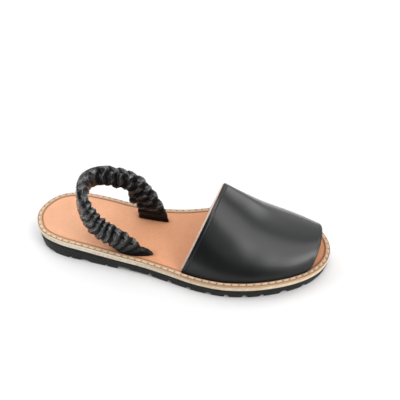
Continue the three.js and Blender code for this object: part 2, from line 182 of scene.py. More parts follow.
# Beyond the first place folds grow longer by this share; from the others on it is the
# inner leg
LONG_FOLDS = (84, 0.28)
INNER_LEG = (112, 124)

# Bell curves added to one edge of the strap: place, reach and size in millimetres. The
# first pair draws its outer end in beside a blunt tongue, the second makes a lobe.
END_TONGUE = table("at reach size", [(2.5, 1.8, 1.0), (9.0, 2.8, -2.2)])
EDGE_LOBE = table("at reach size", [(139, 5, 4.0), (124, 6, -2.0)])

# Broad soft lamps of the studio, seen from the shoe, in degrees: turn from the inner side
# towards the toe, rise above the floor, half widths of the full and of the fading part.
# Last comes the strength.
SKY_LAMPS = table("turn rise core reach strength", [
    (15, 38, 20, 42, 1.05), (56, 18, 8, 22, 3.4), (122, 35, 6, 18, 5.2), (118, 12, 14, 28, 1.9),
    (100, 57, 9, 24, 2.5), (170, 50, 8, 20, 0.5), (-60, 42, 12, 36, 2.2), (-90, 86, 12, 22, 3.4),
])

# The lamp on the left: its place, the point it faces and its side
KEY_PLACE = Vector((-0.5, -0.08, 0.55))
KEY_TARGET = Vector((-0.08, 0.0, 0.02))
KEY_SIDE = 0.2

# Width of the camera's sensor, in millimetres as Blender takes it
SENSOR_WIDTH = 36


def smooth(rows, column, at, knots=None):
    """A column of a table read smoothly: a cubic between two rows, whose slope at a row is
    the mean of the chords beside it, each weighted by the other's length."""
    knots = rows["at"] if knots is None else knots
    values = rows[column]
    step = np.diff(knots)
    chord = np.diff(values) / step
    slope = np.empty_like(values)
    slope[1:-1] = (chord[:-1] * step[1:] + chord[1:] * step[:-1]) / (step[:-1] + step[1:])
    slope[0] = 2 * chord[0] - slope[1]
    slope[-1] = 2 * chord[-1] - slope[-2]
    at = np.asarray(at, float)
    i = np.clip(np.searchsorted(knots, at, side="right") - 1, 0, len(step) - 1)
    s = np.clip((at - knots[i]) / step[i], 0, 1)
    rise = values[i + 1] - values[i]
    bend = (slope[i] * step[i] - rise) * (1 - s) - (slope[i + 1] * step[i] - rise) * s
    beyond = at - np.clip(at, knots[0], knots[-1])
    tail = np.where(beyond < 0, slope[i], slope[i + 1])
    return values[i] + rise * s + s * (1 - s) * bend + beyond * tail


def turn_of(share):
    """Angle of the outline at a share of the sole's length."""
    return np.arccos(1 - 2 * np.asarray(share))


def share_of(x):
    """Share of the sole's length at a place x, 0 at the heel tip."""
    return x / SOLE_LENGTH + 0.5


def half_width(folded, side):
    """Reach of the outline to the outer or inner side at an angle from 0 to pi: the
    table's share of the ball's width."""
    return BALL_WIDTH * smooth(OUTLINE, side, folded, turn_of(OUTLINE["at"]))


TURNS = np.linspace(0, np.pi, 201)
SIDE_SHIFT = (half_width(TURNS, "outer").max() - half_width(TURNS, "inner").max()) / 2


def outline(angle):
    """Sole outline from 0 at the heel tip over pi at the toe tip, outer side first:
    x = -cos(angle) times half the length, y = the side's reach there."""
    turn = np.mod(angle, 2 * np.pi)
    folded = np.where(turn > np.pi, 2 * np.pi - turn, turn)
    reach = np.where(turn > np.pi, half_width(folded, "inner"), -half_width(folded, "outer"))
    return np.stack([-np.cos(folded) * SOLE_LENGTH / 2, reach + SIDE_SHIFT], -1)


def inset(angle, depth):
    """The outline moved inwards by a depth, square to itself."""
    along = unit(outline(angle + ANGLE_REACH) - outline(angle - ANGLE_REACH))
    inward = np.stack([-along[..., 1], along[..., 0]], -1)
    return outline(angle) + inward * np.asarray(depth)[..., None]


def side_at(x, side, depth):
    """Sideways place of the inset outline straight beside a place x: the depth counts
    for more where the outline slants, by the length of a slanted line over its run."""
    angle = -side * turn_of(share_of(x))
    before, after = outline(angle - ANGLE_REACH), outline(angle + ANGLE_REACH)
    slope = (after[..., 1] - before[..., 1]) / (after[..., 0] - before[..., 0])
    return outline(angle)[..., 1] - side * depth * np.hypot(1, slope)


def unit(vectors):
    """The same directions at length 1."""
    return vectors / np.maximum(np.linalg.norm(vectors, axis=-1, keepdims=True), 1e-12)


def blend(a, b, share):
    """Straight mix of two values or points."""
    return a + (b - a) * share


def ramp(value, low, high):
    """0 below low, 1 above high, and a soft S between."""
    s = np.clip((value - low) / (high - low), 0, 1)
    return s * s * (3 - 2 * s)


def between(value, start, full, fading, end):
    """0 outside start and end, 1 from full to fading, and a soft S either side."""
    return ramp(value, start, full) * ramp(-value, -end, -fading)


def bell(away, reach):
    """Bell curve: e to the minus square of a distance over its reach."""
    return np.exp(-(away / reach) ** 2)


def bells(place, rows):
    """Sum of a table's bell curves at places."""
    return sum(size * bell(place - at, reach) for at, reach, size in zip(*rows.values()))


def rubber_top(x):
    """Height of the rubber's top: the table's share of the heel's height."""
    return HEEL_HEIGHT * smooth(RUBBER_TOP, "height", share_of(x))


def midsole_bottom(x):
    """The rubber's top and the gap over it."""
    return rubber_top(x) + CLEARANCE


def midsole_top(x):
    """The midsole's bottom and its thickness."""
    return midsole_bottom(x) + MIDSOLE_THICKNESS


def seat(x):
    """Where the welt and the insole lie: the midsole's top and the gap over it."""
    return midsole_top(x) + CLEARANCE


def welt_top(x):
    """The seat and the welt's thickness."""
    return seat(x) + WELT_THICKNESS


def lifted(flat, height):
    """Flat points with a height each."""
    return np.concatenate([flat, np.broadcast_to(height, flat.shape[:-1])[..., None]], -1)


def arc_lengths(points):
    """Length along each row of points from its first, down the first axis."""
    steps = np.linalg.norm(np.diff(points, axis=0), axis=-1)
    return np.concatenate([np.zeros_like(steps[:1]), np.cumsum(steps, axis=0)])


def closed(uv, turn):
    """Surface coordinates with their first column again at the end, a whole turn on."""
    return np.concatenate([uv, uv[:, :1] + np.array(turn)], 1)


class Skin:
    """Grids of points gathered into the closed mesh of one piece, with the two surface
    coordinates and the painted shade that its finishes read."""

    def __init__(self):
        self.points, self.quads, self.slots, self.maps = [], [], [], []
        self.shades = []
        self.count = 0

    def add(self, points, slot=0, around=False, uv=None, shade=0.0):
        """Adds a grid of points. Each square of four neighbours is a face, and around
        joins the last column to the first."""
        rows, columns = points.shape[:2]
        index = self.count + np.arange(rows * columns).reshape(rows, columns)
        if around:
            index = np.hstack([index, index[:, :1]])
        if uv is None:
            uv = np.zeros(index.shape + (2,))
        for grid, store in ((index, self.quads), (uv, self.maps)):
            corners = [grid[:-1, :-1], grid[:-1, 1:], grid[1:, 1:], grid[1:, :-1]]
            store.append(np.stack(corners, 2).reshape((-1, 4) + grid.shape[2:]))
        self.points.append(points.reshape(-1, 3))
        self.slots.append(np.full(len(self.quads[-1]), slot))
        self.shades.append(np.broadcast_to(shade, (rows, columns)).ravel())
        self.count += rows * columns

    def plug(self, ring):
        """Closes a ring of points with a fan to its middle."""
        self.add(np.stack([ring, np.broadcast_to(ring.mean(0), ring.shape)]), 0, around=True)

    def piece(self, name, finishes, crease=50.0, weld=1e-6):
        """Puts the grids into a mesh, welds points nearer than weld, turns its faces outwards
        and keeps edges sharp that turn by more than crease, in degrees."""
        mesh = bpy.data.meshes.new(name)
        quads = np.concatenate(self.quads)
        mesh.from_pydata(np.concatenate(self.points).tolist(), [], quads.tolist())
        mesh.polygons.foreach_set("material_index", np.concatenate(self.slots))
        layer = mesh.uv_layers.new(name="surface")
        layer.uv.foreach_set("vector", np.concatenate(self.maps).astype(np.float32).ravel())
        shade = mesh.attributes.new("shade", "FLOAT", "POINT")
        shade.data.foreach_set("value", np.concatenate(self.shades).astype(np.float32))
        for finish in finishes:
            mesh.materials.append(finish)
        work = bmesh.new()
        work.from_mesh(mesh)
        bmesh.ops.remove_doubles(work, verts=work.verts, dist=weld)
        bmesh.ops.recalc_face_normals(work, faces=work.faces)
        work.to_mesh(mesh)
        work.free()
        mesh.shade_smooth()
        mesh.set_sharp_from_angle(angle=np.radians(crease))
        obj = bpy.data.objects.new(name, mesh)
        bpy.context.scene.collection.objects.link(obj)
        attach(obj, "root")
        return obj


class Wire:
    """Output of a shader node. Python's operators on it add Math nodes."""

    def __init__(self, finish, socket):
        self.finish = finish
        self.socket = socket

    def math(self, operation, *values):
        """Adds a Math node."""
        settings = {"operation": operation}
        return self.finish.node("ShaderNodeMath", settings, dict(enumerate(values)))

    def __add__(self, other):
        return self.math("ADD", self, other)

    def __radd__(self, other):
        return self.math("ADD", other, self)

    def __sub__(self, other):
        return self.math("SUBTRACT", self, other)

    def __rsub__(self, other):
        return self.math("SUBTRACT", other, self)

    def __mul__(self, other):
        return self.math("MULTIPLY", self, other)

    def __rmul__(self, other):
        return self.math("MULTIPLY", other, self)

    def __truediv__(self, other):
        return self.math("DIVIDE", self, other)

    def __rtruediv__(self, other):
        return self.math("DIVIDE", other, self)

    def sine(self):
        """Sine of an angle in radians."""
        return self.math("SINE", self)

    def wrapped(self):
        """What is left over a whole number."""
        return self.math("FRACT", self)

    def size(self):
        """The number without its sign."""
        return self.math("ABSOLUTE", self)

    def ramp(self, low, high):
        """0 below low, 1 above high, and a soft S between."""
        settings = {"interpolation_type": "SMOOTHSTEP"}
        return self.finish.node("ShaderNodeMapRange", settings, {0: self, 1: low, 2: high})


class Graph:
    """Node tree that values and wires are plugged into."""

    def __init__(self, tree):
        self.tree = tree

    def node(self, kind, settings=None, inputs=None, output=0):
        """Adds a node, makes its settings, then fills its sockets with values or wires."""
        node = self.tree.nodes.new(kind)
        for name, value in (settings or {}).items():
            setattr(node, name, value)
        for key, value in (inputs or {}).items():
            if isinstance(value, Wire):
                self.tree.links.new(value.socket, node.inputs[key])
            else:
                node.inputs[key].default_value = value
        return Wire(self, node.outputs[output])


class Finish(Graph):
    """Material of one finish: a Principled shader, and the nodes that vary it."""

    def __init__(self, name, constants):
        self.material = bpy.data.materials.new(name)
        self.material.use_nodes = True
        super().__init__(self.material.node_tree)
        self.shader = self.tree.nodes["Principled BSDF"]
        for socket, value in constants.items():
            self.shader.inputs[socket].default_value = value

    def place(self):
        """Object coordinates, in metres."""
        return self.node("ShaderNodeTexCoord", output="Object")

    def parts(self, vector):
        """The first two parts of a vector, each a wire of its own."""
        first = self.node("ShaderNodeSeparateXYZ", {}, {0: vector})
        return first, Wire(self, first.socket.node.outputs[1])

    def uv(self):
        """The two surface coordinates of the piece."""
        return self.parts(self.node("ShaderNodeUVMap", {"uv_map": "surface"}))

    def shade(self):
        """The piece's own painted shade."""
        return self.node("ShaderNodeAttribute", {"attribute_name": "shade"}, output="Fac")

    def noise(self, size, detail=3.0, rough=0.5):
        """Cloudy pattern from 0 to 1 with lumps of about a size in metres."""
        inputs = {"Vector": self.place(), "Scale": 1 / size, "Detail": detail,
                  "Roughness": rough}
        return self.node("ShaderNodeTexNoise", {}, inputs, output="Fac")

    def strokes(self, x, y):
        """Cloudy pattern over two wires of its own, drawn out where they grow slowly."""
        where = self.node("ShaderNodeCombineXYZ", {}, {0: x, 1: y})
        inputs = {"Vector": where, "Scale": 1.0, "Detail": 3.0, "Roughness": 0.6}
        return self.node("ShaderNodeTexNoise", {}, inputs, output="Fac")

    def cells(self, size):
        """Distance pattern of a cell texture with cells of about a size in metres."""
        inputs = {"Vector": self.place(), "Scale": 1 / size}
        return self.node("ShaderNodeTexVoronoi", {"feature": "F1"}, inputs, output="Distance")

    def mix(self, share, first, second):
        """Colour between two colours."""
        first, second = (c if isinstance(c, Wire) else (*c, 1.0) for c in (first, second))
        inputs = {0: share, 6: first, 7: second}
        return self.node("ShaderNodeMix", {"data_type": "RGBA"}, inputs, output=2)

    def wear(self, colour=None, roughness=None, relief=None, coat=None):
        """Plugs in what varies over the surface. Relief is a height in millimetres."""
        if colour is not None:
            self.tree.links.new(colour.socket, self.shader.inputs["Base Color"])
        if roughness is not None:
            self.tree.links.new(roughness.socket, self.shader.inputs["Roughness"])
        if coat is not None:
            self.tree.links.new(coat.socket, self.shader.inputs["Coat Weight"])
        if relief is not None:
            inputs = {"Strength": 1.0, "Distance": MM, "Height": relief}
            bump = self.node("ShaderNodeBump", {}, inputs)
            self.tree.links.new(bump.socket, self.shader.inputs["Normal"])
        return self.material


def sole_stations(extra=()):
    """Angles from the heel tip to the toe tip, even steps and the extra shares between."""
    even = np.linspace(0, np.pi, 181)
    breaks = turn_of(np.array(extra)) if len(extra) else np.array([])
    kept = even[[np.all(np.abs(breaks - a) > STATION_GAP) for a in even]]
    return np.sort(np.concatenate([kept, breaks]))


def ring_of(stations):
    """Angles once round the sole, from its stations."""
    return np.concatenate([stations, 2 * np.pi - stations[-2:0:-1]])


def level(angles, depth, height):
    """One line round the sole: inset by a depth, at a height or at heights that depend
    on x."""
    flat = inset(angles, np.broadcast_to(depth, angles.shape))
    return lifted(flat, height(flat[:, 0]) if callable(height) else height)


def across(stations, depth, spread):
    """Sheet across the sole: straight lines between the inset outline's two sides at the
    same share, divided at the given spread from 0 on the outer side to 1 on the inner."""
    outer, inner = inset(stations, depth), inset(-stations, depth)
    return outer[:, None] + (inner - outer)[:, None] * spread[None, :, None]


def rounded_edge(radius):
    """Insets and drops of a quarter-round edge, from its side to its top."""
    turn = np.linspace(0, np.pi / 2, 4)
    return radius * (1 - np.cos(turn)), radius * (1 - np.sin(turn))


def cap(skin, stations, depth, height):
    """Closes a layer across the sole at a height that depends on x."""
    flat = across(stations, depth, np.linspace(0, 1, 9))
    skin.add(lifted(flat, height(flat[..., 0])))


def tread_height(share):
    """Height of the rubber's underside at shares along its edge: the underside's table,
    with each groove cut as a trapezoid that narrows upwards."""
    height = HEEL_HEIGHT * np.interp(share, UNDERSIDE["at"], UNDERSIDE["height"])
    floor = HEEL_HEIGHT * np.interp(GROOVES["at"], UNDERSIDE["at"], UNDERSIDE["height"])
    half = GROOVES["width"] * GROOVE_WIDTH / 2
    away = np.abs(np.asarray(share)[..., None] - GROOVES["at"]) * SOLE_LENGTH
    slope = np.clip((half - away) / (half * (1 - GROOVE_TOP_SHARE)), 0, 1)
    cut = np.where(away < half, floor + slope * GROOVES["depth"] * GROOVE_DEPTH, 0)
    return np.maximum(height, cut.max(-1))


# The rubber's wall above its lower edge: share of its height, and tuck in EDGE_TUCKs
WALL_TUCKS = ((0.35, 0.4), (0.7, 0.15), (0.93, 0.1))


def make_outsole(size):
    """Rubber sole: a wall that rises from the tread with a rounded lower edge, a tread
    across the sole, and a flat top under the leather. The tread's lines are moved towards
    the toe by a tent, 0 at the sides and 1 in the middle, times the chevron. The wall's
    surface coordinates are its length and its height in millimetres."""
    half = GROOVES["width"] * GROOVE_WIDTH / SOLE_LENGTH / 2
    edges = [GROOVES["at"] + half * k for k in (-1, -GROOVE_TOP_SHARE, GROOVE_TOP_SHARE, 1)]
    stations = sole_stations(np.concatenate([*edges, UNDERSIDE["at"][1:-1]]))
    angles = ring_of(stations)
    shares = (1 - np.cos(angles)) / 2
    bottom = tread_height(shares)
    tucks, drops = rounded_edge(size.lug_edge)
    skin = Skin()
    levels = [level(angles, EDGE_TUCK + t, bottom + d) for t, d in zip(tucks[::-1], drops[::-1])]
    top = rubber_top(levels[0][:, 0])
    for rise, tuck in WALL_TUCKS:
        flat = level(angles, EDGE_TUCK * tuck, 0.0)
        flat[:, 2] = blend(bottom + size.lug_edge, top, rise)
        levels.append(flat)
    levels.append(level(angles, EDGE_TUCK, rubber_top))
    wall = np.stack(levels)
    arc = arc_lengths(wall[-1])
    uv = np.stack([np.broadcast_to(arc, wall.shape[:2]), wall[..., 2]], -1) / MM
    skin.add(wall, 0, around=True, uv=closed(uv, (arc[-1] / MM, 0)))
    cap(skin, stations, EDGE_TUCK, rubber_top)
    spread = np.linspace(0, 1, 33)
    base = across(stations, EDGE_TUCK + tucks[-1], spread)
    along = (1 - np.cos(stations)) / 2
    tent = 1 - np.abs(2 * spread - 1)
    width = half_width(stations, "outer") * between(along, 0.02, 0.1, 0.9, 0.98)
    base[..., 0] += GROOVE_CHEVRON * width[:, None] * tent
    skin.add(lifted(base, tread_height(along)[:, None]), 1)
    finishes = [rubber(size.colour), tread_rubber(size.colour)]
    sole = skin.piece("outsole_rubber", finishes, crease=35)
    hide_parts("outsole")


def make_midsole(size):
    """Cut leather layer: a wall with small rounded edges, closed above and below. Its
    surface coordinates are its length in millimetres and the share of its height."""
    stations = sole_stations()
    angles = ring_of(stations)
    tucks, drops = rounded_edge(size.edge_radius)
    lower = drops[::-1] / MIDSOLE_THICKNESS
    rise = np.concatenate([lower, [0.35, 0.65], 1 - drops / MIDSOLE_THICKNESS])
    depth = np.concatenate([tucks[::-1], [0, 0], tucks])
    tall = MIDSOLE_THICKNESS + CLEARANCE - TOUCH
    wall = np.stack([
        level(angles, d, lambda x, r=r: midsole_bottom(x) + r * tall) for d, r in zip(depth, rise)
    ])
    arc = arc_lengths(wall[0])
    uv = np.stack(np.broadcast_arrays(arc[None] / MM, rise[:, None]), -1)
    skin = Skin()
    skin.add(wall, 0, around=True, uv=closed(uv, (arc[-1] / MM, 0)))
    cap(skin, stations, tucks[-1], lambda x: midsole_bottom(x) + tall)
    cap(skin, stations, tucks[-1], midsole_bottom)
    layer = skin.piece("midsole_edge", [cut_leather(size.colour)])
    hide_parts("midsole")


def stitch_line(pitch):
    """Places along the stitches' line round the welt: angles, the arc up to each counted
    in stitches, and how many stitches fit."""
    fine = np.linspace(0, 2 * np.pi, 4001)
    arc = arc_lengths(inset(fine, np.full(fine.shape, STITCH_INSET)))
    count = int(round(arc[-1] / pitch))
    return fine, arc / arc[-1] * count, count


# Height of the rim's crown, half width of its stitching channel, and the share of the
# sole's length in which the rim narrows beside the vamp
RIM_CROWN = 0.12 * MM
CHANNEL_REACH = 0.55 * MM
RIM_NARROWING = 0.004


def make_welt(size):
    """Stitched rim: a closed section carried round the sole, its top a soft crown with a
    channel for the stitches. It narrows where the vamp stands on its inner edge. Its
    surface coordinates are the arc in stitches and the depth in millimetres."""
    stations = sole_stations(np.concatenate([VAMP["outer"][[0, -1]], VAMP["inner"][[0, -1]]]))
    angles = ring_of(stations)
    shares = (1 - np.cos(angles)) / 2
    outer_side = angles <= np.pi
    start = np.where(outer_side, VAMP["outer"][0], VAMP["inner"][0])
    end = np.where(outer_side, VAMP["outer"][-1], VAMP["inner"][-1])
    under = ramp(shares, start - RIM_NARROWING, start)
    under = under * (1 - ramp(shares, end, end + RIM_NARROWING))
    width = blend(RIM_WIDTH, VAMP_INSET - CLEARANCE, under)
    tucks, drops = rounded_edge(size.edge_radius)
    spread = np.linspace(0.2, 0.86, 14)[:, None]
    tucks, drops = tucks[:, None] + 0 * width, drops[:, None] + 0 * width
    top = spread * width
    insets = np.vstack([0 * width, tucks, top, width - tucks[::-1], width])
    crown = RIM_CROWN * np.sin(np.pi * spread)
    channel = size.channel_depth * bell(top - STITCH_INSET, CHANNEL_REACH)
    heights = np.vstack([-WELT_THICKNESS + 0 * width, -drops, crown - channel, -drops[::-1],
                         -WELT_THICKNESS + 0 * width]) + WELT_THICKNESS
    section = np.stack([
        level(angles, d, lambda x, h=h: seat(x) + h) for d, h in zip(insets, heights)
    ], 1)
    fine, number, _ = stitch_line(size.stitch_pitch)
    along = np.interp(np.append(angles, 2 * np.pi), fine, number)
    depths = np.pad(insets.T / MM, ((0, 1), (0, 1)), "wrap")
    uv = np.stack([np.broadcast_to(along[:, None], depths.shape), depths], -1)
    skin = Skin()
    skin.add(np.concatenate([section, section[:1]]), 0, around=True, uv=uv)
    rim = skin.piece("welt_rim", [welt_leather(size.colour)])
    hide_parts("welt")


# Height of a stitch's thread in shares of its width
THREAD_FLATNESS = 0.75


def make_stitches(size):
    """Stitches round the welt: each a flattened thread that dips at both ends. Along its
    length the height follows a half sine, and its section is an ellipse."""
    fine, number, count = stitch_line(size.stitch_pitch)
    t = np.linspace(0, 1, 8)
    turn = np.linspace(0, 2 * np.pi, 9)[:-1]
    place = np.arange(count)[:, None] + 0.5 + (t[None] - 0.5) * size.thread_share
    angle = np.interp(place, number, fine)
    lean = (t - 0.5) * size.thread_slant
    flat = inset(angle, STITCH_INSET + np.broadcast_to(lean, angle.shape))
    body = np.sin(np.pi * t) ** 0.45
    z = seat(flat[..., 0]) + WELT_THICKNESS + size.thread_radius * (body * 1.15 - 1.0)
    line = np.full(angle.shape, STITCH_INSET)
    along = unit(inset(angle + ANGLE_REACH, line) - inset(angle - ANGLE_REACH, line))
    side = np.stack([-along[..., 1], along[..., 0], 0 * angle], -1)
    centre = lifted(flat, z)
    girth = size.thread_radius * (0.12 + 0.88 * body)[None, :, None, None]
    up = np.array([0, 0, THREAD_FLATNESS])
    ring = np.cos(turn)[:, None] * side[:, :, None] + np.sin(turn)[:, None] * up
    tube = centre[:, :, None] + girth * ring
    skin = Skin()
    for one in tube:
        skin.add(one, 0, around=True)
        skin.plug(one[0])
        skin.plug(one[-1])
    thread = skin.piece("welt_stitches", [thread_finish(size.thread_colour)], crease=80)


def slit(side):
    """The two ends of a strap slit, on the insole."""
    at = 0.0 if side == "outer" else 1.0
    centre, wide, _, half, _ = strap_frame(np.array([at]))
    return (centre - wide * half[:, None])[0, :2], (centre + wide * half[:, None])[0, :2]


def away_from(points, ends):
    """Distance of points from the straight line between two ends."""
    a, b = ends
    reach = np.clip(((points - a) @ (b - a)) / ((b - a) @ (b - a)), 0, 1)
    return np.linalg.norm(points - a - reach[..., None] * (b - a), axis=-1)


def make_insole(size):
    """Footbed: a sheet across the sole with a quarter-round edge. It sinks round both
    slits and under the heel, as bell curves. Its painted shade falls off from the slits
    and, in a wider line at the toe, from the edge."""
    depth = RIM_WIDTH + 3 * TOUCH
    stations = sole_stations()
    spread = (1 - np.cos(np.linspace(0, np.pi, 97))) / 2
    flat = across(stations, depth, spread)
    border = inset(np.linspace(0, 2 * np.pi, 721), np.full(721, depth))
    edge = np.min(np.linalg.norm(flat[:, :, None] - border[None, None], axis=-1), -1)
    radius = size.edge_radius
    inside = np.clip(radius - edge, 0, radius)
    drop = radius - np.sqrt(radius ** 2 - inside ** 2)
    outer, inner = away_from(flat, slit("outer")), away_from(flat, slit("inner"))
    near = np.minimum(outer, inner)
    sink = size.slit_sink * bell(near, SLIT_REACH)
    share = share_of(flat[..., 0])
    dent_at, dent_along, dent_across, dent_depth = HEEL_DENT
    dent = bell(share - dent_at, dent_along) * bell(flat[..., 1] - SIDE_SHIFT, dent_across)
    z = seat(flat[..., 0]) + INSOLE_THICKNESS - drop - sink - dent_depth * dent
    # Painted shade: dye and a painted shadow of the strap round the slits, and a painted line of
    # shade in the gap along the edge, wider at the toe
    line = blend(size.edge_line, size.toe_line, ramp(share, 0.9, 0.95))
    shade = 0.8 * np.exp(-near / SLIT_REACH) + bell(edge, line)
    skin = Skin()
    skin.add(lifted(flat, z), 0, shade=shade)
    angles = ring_of(stations)
    flats = level(angles, depth, seat)
    upper = level(angles, depth, lambda x: seat(x) + INSOLE_THICKNESS - radius)
    # The edge's wall, down in the gap, is painted in full shade
    skin.add(np.stack([flats, upper]), 0, around=True, shade=1.0)
    cap(skin, stations, depth, seat)
    finishes = [footbed_leather(size.colour, size.dark_colour)]
    bed = skin.piece("insole_footbed", finishes, crease=60, weld=2e-6)
    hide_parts("insole")


def vamp_face(t, phi):
    """Outer face of the vamp: from a point between its two feet, out to the foot of that
    side with |cos phi|, and up with sin phi raised to the side's own power."""
    read = {column: smooth(VAMP, column, t) for column in list(VAMP)[1:]}

    def foot(share, side):
        """Foot of one side at a share of the sole, sunk a little into the welt."""
        x = (share - 0.5) * SOLE_LENGTH
        return np.stack([x, side_at(x, side, VAMP_INSET), welt_top(x) - VAMP_SINK], -1)

    outer, inner = foot(read["outer"], -1), foot(read["inner"], 1)
    middle = blend(outer, inner, read["crest"][..., None])
    near = (phi < np.pi / 2)[..., None]
    out = blend(middle, np.where(near, outer, inner), np.abs(np.cos(phi))[..., None])
    flank = np.where(phi < np.pi / 2, OUTER_FLANK, INNER_FLANK)
    lift = np.maximum(np.sin(phi), 0) ** flank
    crest = np.stack([read["lean"] * SOLE_LENGTH, 0 * t, read["rise"] * VAMP_RISE], -1)
    return out + crest * lift[..., None]


def vamp_normal(t, phi):
    """Outward direction of the vamp's face, from its two slopes."""
    low, high = np.maximum(phi - ANGLE_REACH, 0), np.minimum(phi + ANGLE_REACH, np.pi)
    along = vamp_face(t + PATH_REACH, phi) - vamp_face(t - PATH_REACH, phi)
    return unit(np.cross(along, vamp_face(t, high) - vamp_face(t, low)))


# Heights above the welt between which the vamp's polish grows from none to full
POLISH_RISE = (1 * MM, 15 * MM)


def vamp_layer(skin, reach, lift_of, wall, slots, bulge):
    """Bent sheet between two shares of the vamp: its outer face stands off by lift_of, its
    inner face lies a wall's thickness below, and its open edges swell out like half
    ellipses. Its surface coordinates are the distances from the throat and from one foot
    in millimetres, and its painted shade is its polish, which grows above the welt.
    Slots are the finishes of the outer face, the inner face and the edges."""
    fine = np.concatenate([np.linspace(0, 0.06, 22), np.linspace(0.06, 0.96, 62)[1:-1],
                           np.linspace(0.96, 1, 9)])
    t = blend(*reach, fine)
    even = np.linspace(0, np.pi, 141)
    phi = blend(even, np.pi * (1 - np.cos(even)) / 2, 0.35)
    t, phi = np.meshgrid(t, phi, indexing="ij")
    base, normal = vamp_face(t, phi), vamp_normal(t, phi)
    throat = arc_lengths(base)
    around = arc_lengths(base.transpose(1, 0, 2)).T
    outer = base + normal * lift_of(throat, throat[-1] - throat, phi)[..., None]
    inner = base - normal * wall
    faces = []
    for face in (outer, inner):
        foot = face[:, [0, -1]].copy()
        foot[..., 2] = seat(foot[..., 0])
        faces.append(np.concatenate([foot[:, :1], face, foot[:, 1:]], 1))
    outer, inner = faces
    pad = ((0, 0), (1, 1))
    uv = np.stack([np.pad(throat, pad, "edge"), np.pad(around, pad, "edge")], -1) / MM
    polish = ramp(outer[..., 2] - welt_top(outer[..., 0]), *POLISH_RISE)
    skin.add(outer, slots[0], uv=uv, shade=polish)
    skin.add(inner, slots[1], uv=uv)
    turn = np.linspace(0, np.pi, 9)[:, None, None]
    for row, beyond in ((0, 1), (-1, -2)):
        out = unit(outer[row] - outer[beyond if row else 1])
        middle = (outer[row] + inner[row]) / 2
        edge = middle + (outer[row] - middle) * np.cos(turn) + bulge * out * np.sin(turn)
        band = np.stack(np.broadcast_arrays(turn[..., 0] / np.pi, uv[row, :, 1]), -1)
        skin.add(edge, slots[2], uv=band)
    for column in (0, -1):
        skin.add(np.stack([outer[:, column], inner[:, column]]), slots[2])


# Share of the vamp's wall that is black leather, the gap to its lining, how far the edges
# of both swell out, and where the lining ends at the toe
LEATHER_SHARE = 0.6
LINING_GAP = 0.05 * MM
LEATHER_BULGE, LINING_BULGE = 0.25 * MM, 0.2 * MM
LINING_END = 0.996

# Relief of the black leather: height of its soft swelling and length of the waves, reaches
# of the bead, the crease and the roll, place, height and reach of the rim at the toe
# opening, and depth of the hem at its feet with its reach in radians
SWELL_HEIGHT, SWELL_LENGTH = 0.25 * MM, 13 * MM
BEAD_REACH, CREASE_REACH, ROLL_REACH = 0.4 * MM, 0.32 * MM, 1.25 * MM
TOE_RIM_PLACE, TOE_RIM_HEIGHT, TOE_RIM_REACH = 1.2 * MM, 0.2 * MM, 0.8 * MM
HEM_DEPTH, HEM_REACH = 0.35 * MM, 0.06


def make_vamp(size):
    """Black leather band over its lining. Along the throat the leather turns down and has
    a bead and a stitched crease, along the toe opening a rim and at its feet a hem, all
    bell curves. Elsewhere it swells softly, as the product of two slow waves."""
    def leather(throat, toe, phi):
        """How far the leather stands off, from its distances to the throat and the toe."""
        bead = size.bead_height * bell(throat - size.bead_place, BEAD_REACH)
        crease = size.crease_depth * bell(throat - size.crease_place, CREASE_REACH)
        roll = size.roll_depth * bell(throat, ROLL_REACH)
        rim = TOE_RIM_HEIGHT * bell(toe - TOE_RIM_PLACE, TOE_RIM_REACH)
        hem = HEM_DEPTH * (bell(phi, HEM_REACH) + bell(np.pi - phi, HEM_REACH))
        wave = np.sin(throat / SWELL_LENGTH + 1.3 * phi)
        soft = SWELL_HEIGHT * wave * np.sin(2.1 * phi + 0.6) ** 2
        return bead + rim + soft - (crease + roll) - hem

    wall = LEATHER_SHARE * VAMP_WALL
    upper = Skin()
    vamp_layer(upper, (0.0, 1.0), leather, wall, (0, 1, 1), LEATHER_BULGE)
    finishes = [vamp_leather(size), cut_black(size.colour)]
    band = upper.piece("vamp_leather", finishes, crease=60)
    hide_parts("vamp")
    under = Skin()
    below = wall + LINING_GAP
    vamp_layer(under, (-size.lining_share, LINING_END), lambda throat, toe, phi: -below + 0 * phi,
               VAMP_WALL, (1, 0, 1), LINING_BULGE)
    finishes = [suede(size.lining_colour), suede(size.edge_colour)]
    lining = under.piece("vamp_lining", finishes, crease=60)
    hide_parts("vamp")


def strap_frame(u):
    """Centre, width and face directions, half width and half thickness of the strap at
    shares of its path. The width stands square to the face and the path, and turns level
    near the slits."""
    def centre(share):
        """Point of the path."""
        read = [smooth(STRAP_PATH, column, share) for column in ("along", "across", "up")]
        return np.stack([(read[0] - 0.5) * SOLE_LENGTH, read[1] * BALL_WIDTH + SIDE_SHIFT,
                         read[2] * STRAP_CROWN], -1)

    towards = np.radians(smooth(STRAP_PATH, "face", u))
    face = np.stack([np.cos(towards), np.sin(towards), 0 * u], -1)
    upright = unit(np.cross(face, centre(u + PATH_REACH) - centre(u - PATH_REACH)))
    flat = np.stack([-face[..., 1], face[..., 0], 0 * u], -1)
    flat *= np.where(np.sum(flat * upright, -1) < 0, -1, 1)[..., None]
    wide = unit(blend(upright, flat, smooth(STRAP_SECTION, "level", u)[..., None]))
    square = unit(face - wide * np.sum(face * wide, -1, keepdims=True))
    half = smooth(STRAP_SECTION, "width", u) * STRAP_WIDTH / 2
    thick = smooth(STRAP_SECTION, "thick", u) * STRAP_THICKNESS / 2
    return centre(u), wide, square, half, thick


